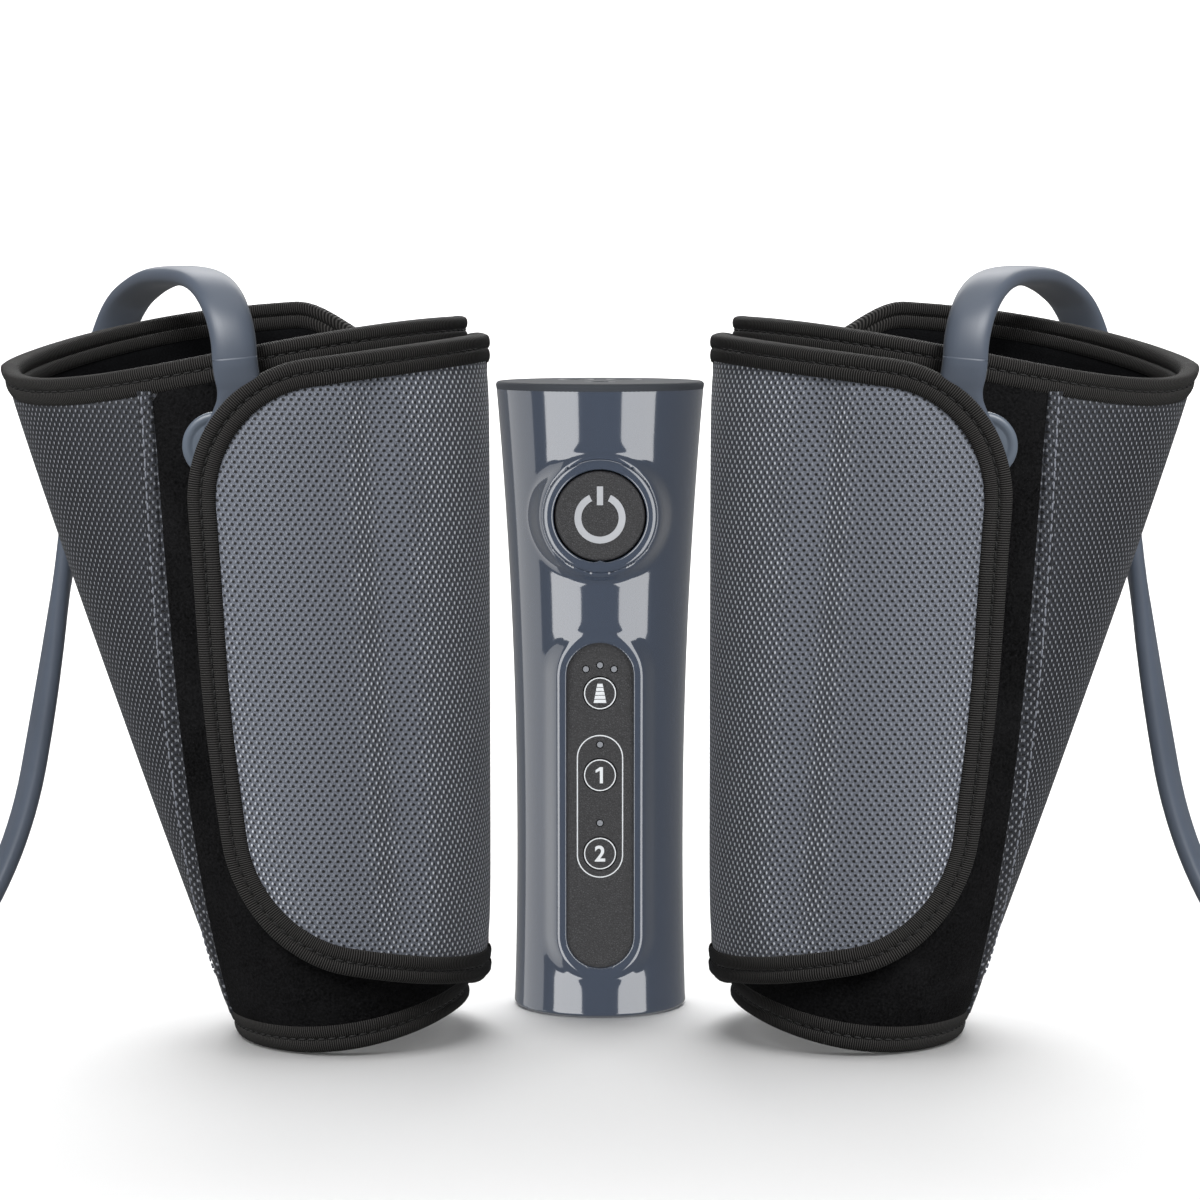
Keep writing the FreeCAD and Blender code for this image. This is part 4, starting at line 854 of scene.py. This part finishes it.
route = [(x, y + WRAP_Y, z) for x, y, z in HOSE_ROUTE]
hose_line = smooth_line("hose_line", route)
hose_run = run_along(hose_line)
turned = smoothstep((hose_run / hose_run[-1] - TURN_START) / (TURN_END - TURN_START))[:, None]
level = unit(np.cross(unit(np.gradient(hose_line, axis=0)), (0, 0, 1.0)))
side = np.array([[1.0, 0, 0]]) * (1 - turned) + level * turned
points, faces = flat_tube(hose_line, side, HOSE_WIDTH, np.full(len(hose_line), HOSE_THICKNESS))
hoses = both("air_hose", points, faces, HOSE, ["hose"])

# Controller: one smooth skin on each half, with the button boss and the panel rim blended into the front
SPREAD = TOP_RADIUS - WAIST_RADIUS
FLARE = (SPREAD**2 + (BODY_HEIGHT - WAIST_HEIGHT) ** 2) / (2 * SPREAD)
TOP_ROUND, FOOT_ROUND = 1.6, 2.0
BOSS_FACE, BOSS_FALL, PANEL_RIM, RIM_FALL = 31.0, 5.4, 26.4, 5.2
BOSS_GROOVE, RIM_GROOVE = 0.7, 0.45
LIP, RIM_PROUD, HOLE_SINK, SLOT_SINK = 0.35, 0.25, 2.0, 0.4
PANEL_FACE = PANEL_RIM - PANEL_SINK
FLAT_SCALE = 29.0


def flared_radius(z):
    return WAIST_RADIUS + FLARE - np.sqrt(FLARE**2 - (z - WAIST_HEIGHT) ** 2)


def body_radius(z):
    """The outer radius, with the top and foot edges rounded."""
    z = np.asarray(z, float)
    high = np.clip((z - BODY_HEIGHT + TOP_ROUND) / TOP_ROUND, 0, 1)
    low = np.clip((FOOT_ROUND - z) / FOOT_ROUND, 0, 1)
    rounding = TOP_ROUND * (1 - np.sqrt(1 - high**2)) + FOOT_ROUND * (1 - np.sqrt(1 - low**2))
    return flared_radius(z) - rounding


def button_distance(x, z):
    return np.hypot(x, z - BUTTON_HEIGHT)


def slot_distance(x, z):
    """Distance outside the panel's rounded slot."""
    return np.hypot(x, z - np.clip(z, PANEL_LOW, PANEL_HIGH)) - PANEL_HALF


def skin_front(turn, z):
    """How far in front of the axis the skin lies, for angles from straight ahead."""
    radius = body_radius(z)
    x, plain = radius * np.sin(turn), radius * np.cos(turn)
    r = button_distance(x, z)
    boss = 1 - smoothstep((r - BEZEL_RADIUS + 0.3) / BOSS_FALL)
    y = plain + (BOSS_FACE - plain) * boss - BOSS_GROOVE * bell(r, BEZEL_RADIUS + 2.6, 1.5)
    y = y - HOLE_SINK * (r < BEZEL_RADIUS - 0.2)
    d = slot_distance(x, z)
    rim = np.maximum(PANEL_RIM, flared_radius(z) + RIM_PROUD)
    share = 1 - smoothstep((d - RIM_WIDTH + 0.9) / RIM_FALL)
    y = y + (rim - y) * share - RIM_GROOVE * bell(d, RIM_WIDTH + 1.6, 1.4)
    lip = np.clip((LIP - d) / LIP, 0, 1)
    y = y - LIP * (1 - np.sqrt(1 - lip**2))
    return np.where(d < -0.02, PANEL_FACE - SLOT_SINK, y)


def circle_points(radius, count):
    turns = turns_of(count)
    return np.stack([radius * np.cos(turns), BUTTON_HEIGHT + radius * np.sin(turns)], -1)


def slot_ends(radius, low, high, count):
    """The upper and the lower half circle of a slot, each in turning order."""
    turns = math.pi * np.arange(count + 1) / count
    top = [(radius * math.cos(t), high + radius * math.sin(t)) for t in turns]
    return top, [(-x, low - (z - high)) for x, z in top]


def slot_points(offset, step=1.1):
    """Points round the panel's slot at a distance outside it."""
    radius = PANEL_HALF + offset
    count = max(14, round(math.pi * radius / step))
    top, foot = slot_ends(radius, PANEL_LOW, PANEL_HIGH, count)
    rows = round((PANEL_HIGH - PANEL_LOW) / 2.4)
    heights = np.linspace(PANEL_HIGH, PANEL_LOW, rows + 1)[1:-1]
    left = [(-radius, z) for z in heights]
    right = [(radius, z) for z in heights[::-1]]
    return np.array(top + left + foot + right)


def facing_front(points, face):
    a, b, c = (np.array(points[i]) for i in face[:3])
    return np.cross(b - a, c - a)[1] < 0


EDGE_ROWS = [0.0, 0.12, 0.4, 0.8, 1.3, 2.0]
skin_rows = EDGE_ROWS + list(np.linspace(4.5, 191.0, 76)) + [193.4, 194.0, 194.5, 194.8, 195.0]
skin_turns = np.radians(np.linspace(-90, 90, 73))
grid_t, grid_z = [a.ravel() for a in np.meshgrid(skin_turns, skin_rows)]
grid_x = body_radius(grid_z) * np.sin(grid_t)
off_boss = button_distance(grid_x, grid_z) > BEZEL_RADIUS + BOSS_FALL + 1.2
off_rim = slot_distance(grid_x, grid_z) > RIM_WIDTH + RIM_FALL
flat_grid = np.stack([grid_t, grid_z], -1)[off_boss & off_rim]
hole_ring = circle_points(BEZEL_RADIUS - 0.5, 96)
slot_ring = slot_points(-0.05)
BOSS_STEPS = (0, 0.3, 0.7, 1.2, 1.8, 2.4, 3.0, 3.6, 4.2, 4.8, 5.4, 6.1)
RIM_STEPS = (0.0, 0.08, 0.2, 0.36, 1.2, 2.0, 2.6, 3.2, 3.9, 4.6, 5.3, 6.0, 6.7, 7.5)
rings = [circle_points(BEZEL_RADIUS - 0.15 + step, 112) for step in BOSS_STEPS]
rings += [slot_points(step) for step in RIM_STEPS]
ring_x, ring_z = np.concatenate([hole_ring, slot_ring, *rings]).T
ring_t = np.arcsin(np.clip(ring_x / body_radius(ring_z), -1, 1))
flat_all = np.concatenate([np.stack([ring_t, ring_z], -1), flat_grid]) * (FLAT_SCALE, 1)
holes = loop_edges(0, len(hole_ring)) + loop_edges(len(hole_ring), len(slot_ring))
flat_skin, skin_faces = filled(flat_all, holes, 0, 0.001)
skin_t, skin_z = (flat_skin / (FLAT_SCALE, 1)).T
skin_x = body_radius(skin_z) * np.sin(skin_t)
in_hole = (button_distance(skin_x, skin_z) < BEZEL_RADIUS - 0.45) | (slot_distance(skin_x, skin_z) < -0.04)
skin_faces = [f for f in skin_faces if not all(in_hole[i] for i in f)]
points = np.stack([skin_x, CONTROLLER_Y - skin_front(skin_t, skin_z), skin_z], -1)
build("front_skin", points, skin_faces, BODY, "controller", ["front_shell"])

rear_turns = np.radians(np.concatenate([[90, 90.5, 91], np.linspace(94, 266, 60), [269, 269.5, 270]]))
SEAM_DEPTH, SEAM_SPREAD = 0.35, 0.01
from_seam = np.minimum(rear_turns - math.pi / 2, 1.5 * math.pi - rear_turns)
seam = SEAM_DEPTH * bell(from_seam, 0.0, SEAM_SPREAD)
rear_z, rear_t = np.meshgrid(skin_rows, rear_turns, indexing="ij")
rear_r = body_radius(rear_z) - seam[None, :]
rear_x, rear_y = rear_r * np.sin(rear_t), CONTROLLER_Y - rear_r * np.cos(rear_t)
points = np.stack([rear_x, rear_y, rear_z], -1).reshape(-1, 3)
faces = grid_faces(len(skin_rows), len(rear_turns))
build("rear_skin", points, faces, BODY, "controller", ["rear_shell"])


def lathe_front(name, profile, look, body, replaced, notch=0.0, count=96):
    """A ring or disc turned about the button's axis, from (radius, front) pairs."""
    pip = notch * bell(turns_of(count), 1.5 * math.pi, 0.07)
    rows = []
    for k, (radius, front) in enumerate(profile):
        x, z = circle_points(radius - (pip if k < 3 else 0.0), count).T
        rows.append(np.stack([x, np.full(count, CONTROLLER_Y - front), z], -1))
    faces = grid_faces(len(profile), count, True)
    if profile[0][0] < 0.1:
        faces.append(tuple(range(count))[::-1])
    build(name, np.concatenate(rows), faces, look, body, replaced)


bezel = [(14.15, 28.6), (14.15, 31.05), (14.35, 31.4), (14.8, 31.55), (15.8, 31.5), (16.7, 31.3)]
bezel += [(17.15, 31.0), (17.35, 30.5), (17.4, 29.5)]
lathe_front("bezel_ring", bezel, BODY, "controller", ["button_bezel"], notch=0.75)
dish = [(0.05, 30.55), (4.0, 30.56), (8.0, 30.62), (11.5, 30.75), (12.9, 30.78)]
dish += [(13.5, 30.6), (13.75, 30.2), (13.8, 28.4)]
lathe_front("button_disc", dish, GRAINED, "power_button", ["power_button"])

# Printed marks, raised a hair above the faces they lie on
PRINT_RAISE = 0.05


def print_on(name, flat_points, faces, front, body, slot="panel_black", look=PRINT):
    """A print of (x, z) points on a plane in front of the axis, with all faces to the front."""
    points = [(x, CONTROLLER_Y - front, z) for x, z in flat_points]
    faces = [f if facing_front(points, f) else f[::-1] for f in faces]
    build(name, points, faces, look, body)


def print_bands(name, pairs, *place):
    """Thin bands between pairs of (x, z) lines."""
    points, faces = [], []
    for inner, outer in pairs:
        faces += grid_faces(2, len(inner), start=len(points))
        points += inner + outer
    print_on(name, points, faces, *place)


def arc_pair(x, z, inner, outer, start=0.0, end=360.0, count=64):
    turns = np.radians(np.linspace(start, end, count + 1))
    return [[(x + r * math.cos(t), z + r * math.sin(t)) for t in turns] for r in (inner, outer)]


def bar_pair(x, low, high, half_low, half_high):
    return [[(x - half_low, low), (x - half_high, high)], [(x + half_low, low), (x + half_high, high)]]


SYMBOL_FRONT = 30.73
symbol = [arc_pair(0, BUTTON_HEIGHT - 0.6, 5.65, 7.75, 115, 425)]
symbol.append(bar_pair(0, BUTTON_HEIGHT + 3.3, BUTTON_HEIGHT + 9.0, 0.95, 0.95))
print_bands("power_symbol", symbol, SYMBOL_FRONT, "power_button", "button_black", SILVER)

PRINT_FRONT = PANEL_FACE + PRINT_RAISE
KEY_FRONT = PANEL_FACE + KEY_PROUD + PRINT_RAISE
mode_ring = []
for radius in (6.75, 7.1):
    top, foot = slot_ends(radius, 50.6, 80.5, 24)
    mode_ring.append(top + foot + top[:1])
print_bands("mode_outline", [mode_ring], PRINT_FRONT, "controller")
for key, height in KEYS.items():
    marks = [arc_pair(0, height, 4.55, 4.88)]
    if key == "pressure_key":
        for step in range(5):
            low = height - 2.95 + step * 1.22
            marks.append(bar_pair(0, low, low + 1.02, 1.95 - 0.24 * step, 1.75 - 0.24 * step))
    print_bands(key + "_print", marks, KEY_FRONT, key)

one = KEYS["mode_1_key"]
stem_and_flag = [[[(-0.05, one - 2.5), (-0.05, one + 2.5)], [(0.9, one - 2.5), (0.9, one + 2.5)]]]
stem_and_flag.append([[(-1.35, one + 1.6), (-1.35, one + 0.7)], [(-0.05, one + 2.5), (-0.05, one + 1.4)]])
print_bands("number_one", stem_and_flag, KEY_FRONT, "mode_1_key")
curve = bpy.data.curves.new("number_two", "FONT")
curve.body = "2"
curve.size = 6.7
curve.offset = 0.16
curve.align_x = curve.align_y = "CENTER"
letter, faces = read_curve("number_two", curve)
letter -= (letter.max(0) + letter.min(0)) / 2
two = [(x, KEYS["mode_2_key"] + y) for x, y, _ in letter]
print_on("number_two", two, faces, KEY_FRONT, "mode_2_key")

# Air outlets, set flush in the top
OUTLETS, OUTLET_OFFSET = (-7.5, 7.5), 13.0
OUTLET_RING = [(6.05, 193.0), (6.0, 194.85), (5.7, 195.05), (4.6, 195.05), (4.3, 194.8)]
OUTLET_BORE = [(4.2, 180.0), (0.2, 179.5)]
outlet_rows = OUTLET_RING + OUTLET_BORE
turns = turns_of(48)
points, faces = [], []
for x in OUTLETS:
    faces += grid_faces(len(outlet_rows), 48, True, len(points) * 48)
    for radius, z in outlet_rows:
        y = CONTROLLER_Y + OUTLET_OFFSET + radius * np.sin(turns)
        points.append(np.stack([x + radius * np.cos(turns), y, np.full(48, z)], -1))
points = np.concatenate(points)
build("outlet_rings", points, faces, PLUG, "controller", ["air_outlets"])

# Plugs at the hose ends
PLUG_MIDDLE, RIBS, RIB_START, RIB_STEP = 5.5, 6, 6.5, 2.4
RIB_SECTION = [(0.0, 8.5, 5.4), (0.5, 8.1, 5.0), (1.1, 8.1, 5.0), (1.6, 8.5, 5.4)]
PLUG_END = [(22.0, 8.5, 5.45), (25.0, 8.5, 5.45), (25.8, 8.2, 5.2), (26.0, 7.6, 4.7)]
NOSE = [(25.5, 4.0), (30.0, 4.0), (30.2, 3.6), (30.6, 4.15), (31.6, 4.15), (32.0, 3.6)]
NOSE += [(32.2, 4.0), (38.6, 4.0), (39.6, 3.6), (40.0, 3.0)]
plug_start = np.array(route[-1])
plug_way = unit(plug_start - np.array(route[-2]))
plug_side = np.cross(plug_way, (0, 0, 1.0))


def along_plug(stations, power):
    """Rings along the plug: (distance, half width, half height, middle height)."""
    rings = []
    for s, wide, tall, height in stations:
        middle = np.array([*(plug_start + plug_way * s)[:2], height])
        rings.append(oval_ring(middle, plug_side, np.array([0, 0, 1.0]), 2 * wide, 2 * tall, 40, power))
    return tube(rings)


stations = [(-5.0, 7.0, 3.05, 3.15), (-4.6, 7.3, 3.1, 3.2), (-1.0, 7.6, 3.5, 3.6)]
stations += [(2.0, 8.0, 4.5, 4.7), (4.5, 8.4, 5.2, 5.4)]
for rib in range(RIBS):
    start = RIB_START + rib * RIB_STEP
    stations += [(start + s, wide, tall, PLUG_MIDDLE) for s, wide, tall in RIB_SECTION]
stations += [(*row, PLUG_MIDDLE) for row in PLUG_END]
plug_points, plug_faces = along_plug(stations, 4.0)
nose_points, nose_faces = along_plug([(s, radius, radius, PLUG_MIDDLE) for s, radius in NOSE], 2.0)
faces = plug_faces + [tuple(i + len(plug_points) for i in f) for f in nose_faces]
points = np.concatenate([plug_points, nose_points])
plugs = both("plug_body", points, faces, PLUG, ["hose_plug"])

# Tail of the hose behind the flap, down to the sewn collar
TAIL = [(-108.5, 1.6, 181.0), (-104.5, 2.6, 188.0), (-103.6, 3.4, 195.0)]
TAIL_FIT = 0.06
hose_start = np.array(route[0])
tail_line = [cone(angle_at(x, z, 0.0), out, z) for x, out, z in TAIL]
tail_line += [hose_start + (0.3, 0, -3.0), hose_start + (0, 0, 1.0)]
tail_line = smooth_line("tail_line", tail_line)
thick = np.interp(tail_line[:, 2], [181, 196, 202], [2.6, 4.5, HOSE_THICKNESS + TAIL_FIT])
points, faces = flat_tube(tail_line, np.array([[1.0, 0, 0]]), HOSE_WIDTH + TAIL_FIT, thick)
both("hose_tail", points, faces, HOSE, ["hose_fitting"])

# Collar sewn round the hose fitting
COLLAR = [(9.9, 0.2), (9.7, 1.2), (9.2, 1.75), (8.2, 1.9), (7.3, 1.7), (6.9, 1.3), (6.6, 1.35), (0.3, 1.4)]
collar_turns = turns_of(64)
rows = []
for radius, out in COLLAR:
    z = FITTING_Z + radius * np.sin(collar_turns)
    x = FITTING_X + radius * np.cos(collar_turns)
    rows.append(cone(angle_at(x, z, 0.0), LOOP_PILE + out, z))
faces = [f[::-1] for f in grid_faces(len(COLLAR), 64, True)]
both("fitting_collar", np.concatenate(rows), faces, FITTING)

# CAD pieces that stay in view or inside get a material by slot
LOOKS = {
    "body_plastic": BODY,
    "button_black": GRAINED,
    "panel_black": GRAINED,
    "light_pipe": LAMP,
    "board": smooth_stuff("solder_mask", (0.01, 0.1, 0.04), 0.4),
    "hook_plastic": pile_cloth("hook_plastic", (0.004, 0.004, 0.004), (0.03, 0.03, 0.03), 1200.0),
    "fitting_plastic": FITTING,
}
PLAIN_LOOKS = {
    "switch_black": ((0.02, 0.02, 0.022), 0.5),
    "motor_steel": ((0.5, 0.51, 0.53), 0.35),
    "pump_plastic": ((0.5, 0.51, 0.52), 0.5),
    "silicone": ((0.6, 0.62, 0.64), 0.45),
    "foot_rubber": ((0.015, 0.015, 0.016), 0.8),
    "screw_steel": ((0.4, 0.41, 0.43), 0.35),
}
for slot_name, (colour, roughness) in PLAIN_LOOKS.items():
    LOOKS[slot_name] = smooth_stuff(slot_name, colour, roughness)
for name, node in frame["nodes"].items():
    slot_name = node.data.materials[0].name.split(".")[0]
    if slot_name in LOOKS:
        node.data.materials.clear()
        node.data.materials.append(CAP if name == "top_cap" else LOOKS[slot_name])

# The wraps don't show in the controller's gloss, as if each piece had been photographed by itself
for piece in bpy.data.objects:
    if piece.name.startswith(("left_", "right_")):
        piece.visible_glossy = False

# Stage, light and camera
SWEEP = [(-5.0, 0.0), (3.8, 0.0), (4.2, 0.04), (4.55, 0.18), (4.75, 0.42), (4.82, 0.8), (4.82, 4.0)]
sweep_points = [(x, y, z) for y, z in SWEEP for x in (-5.5, 5.5)]
floor_look = Look("floor_white", (0.86, 0.86, 0.86), 0.7).made
floor = add_object("floor", smooth_mesh("floor", sweep_points, grid_faces(len(SWEEP), 2), floor_look))
floor.visible_glossy = False

world = bpy.data.worlds.new("studio")
world.use_nodes = True
background = world.node_tree.nodes["Background"]
background.inputs[0].default_value = (1, 1, 1, 1)
background.inputs[1].default_value = 0.24
scene.world = world


def area_light(name, place, target, power, width, height, pieces=(), alone=False):
    """A lamp. It shines on some pieces only, as in a picture put together from several exposures.

    Without pieces it shines on everything. Alone means that only these pieces block its light.
    """
    data = bpy.data.lights.new(name, "AREA")
    data.shape = "RECTANGLE"
    data.size, data.size_y = width, height
    data.energy = power
    lamp = add_object(name, data)
    lamp.location = place
    lamp.rotation_mode = "QUATERNION"
    lamp.rotation_quaternion = (Vector(target) - Vector(place)).to_track_quat("-Z", "Y")
    if not pieces:
        return
    group = bpy.data.collections.new(name + "_receivers")
    for piece in pieces:
        group.objects.link(piece)
    lamp.light_linking.receiver_collection = group
    if alone:
        lamp.light_linking.blocker_collection = group


meshes = [piece for piece in bpy.data.objects if piece.type == "MESH" and piece != floor]
lefts = [piece for piece in meshes if piece.name.startswith("left_")]
rights = [piece for piece in meshes if piece.name.startswith("right_")]
middles = [piece for piece in meshes if piece not in lefts and piece not in rights]
area_light("left_strip", (-0.95, -0.95, 0.25), (0, 0, 0.25), 26.0, 1.0, 2.6, middles, True)
area_light("right_strip", (0.95, -0.95, 0.25), (0, 0, 0.25), 24.0, 1.0, 2.6, middles, True)
area_light("side_card", (-1.35, 0.36, 0.25), (0, 0.03, 0.25), 7.0, 1.1, 2.6, middles, True)
area_light("left_key", (-0.8, -1.1, 1.25), (-0.1, 0, 0.1), 36.0, 0.8, 0.8, lefts)
area_light("right_key", (0.8, -1.1, 1.25), (0.1, 0, 0.1), 36.0, 0.8, 0.8, rights)
area_light("floor_light", (0, 0.3, 3.0), (0, 0.3, 0), 104.0, 5.5, 5.5, [floor])
area_light("back_light", (0, 1.45, 1.25), (0, 0, 0.12), 19.0, 1.6, 0.9)
area_light("top_light", (0, 0.1, 1.7), (0, 0, 0.1), 7.0, 1.4, 1.0)
area_light("backdrop_light", (0, 3.5, 2.2), (0, 4.8, 0.4), 80.0, 5.0, 0.6)
area_light("far_light", (0, 3.0, 2.8), (0, 3.0, 0), 90.0, 7.0, 2.4, [floor])

PHOTO_FOCUS, PHOTO_WIDTH, SENSOR, CAMERA_TILT = 3965.0, 1200.0, 36.0, 5.03
camera_data = bpy.data.cameras.new("camera")
camera_data.sensor_width = SENSOR
camera_data.lens = PHOTO_FOCUS / PHOTO_WIDTH * SENSOR
camera = add_object("camera", camera_data)
camera.location = (0, -1.2, 0.235)
camera.rotation_euler = (math.radians(90 - CAMERA_TILT), 0, 0)
scene.camera = camera
scene.view_settings.view_transform = "Standard"
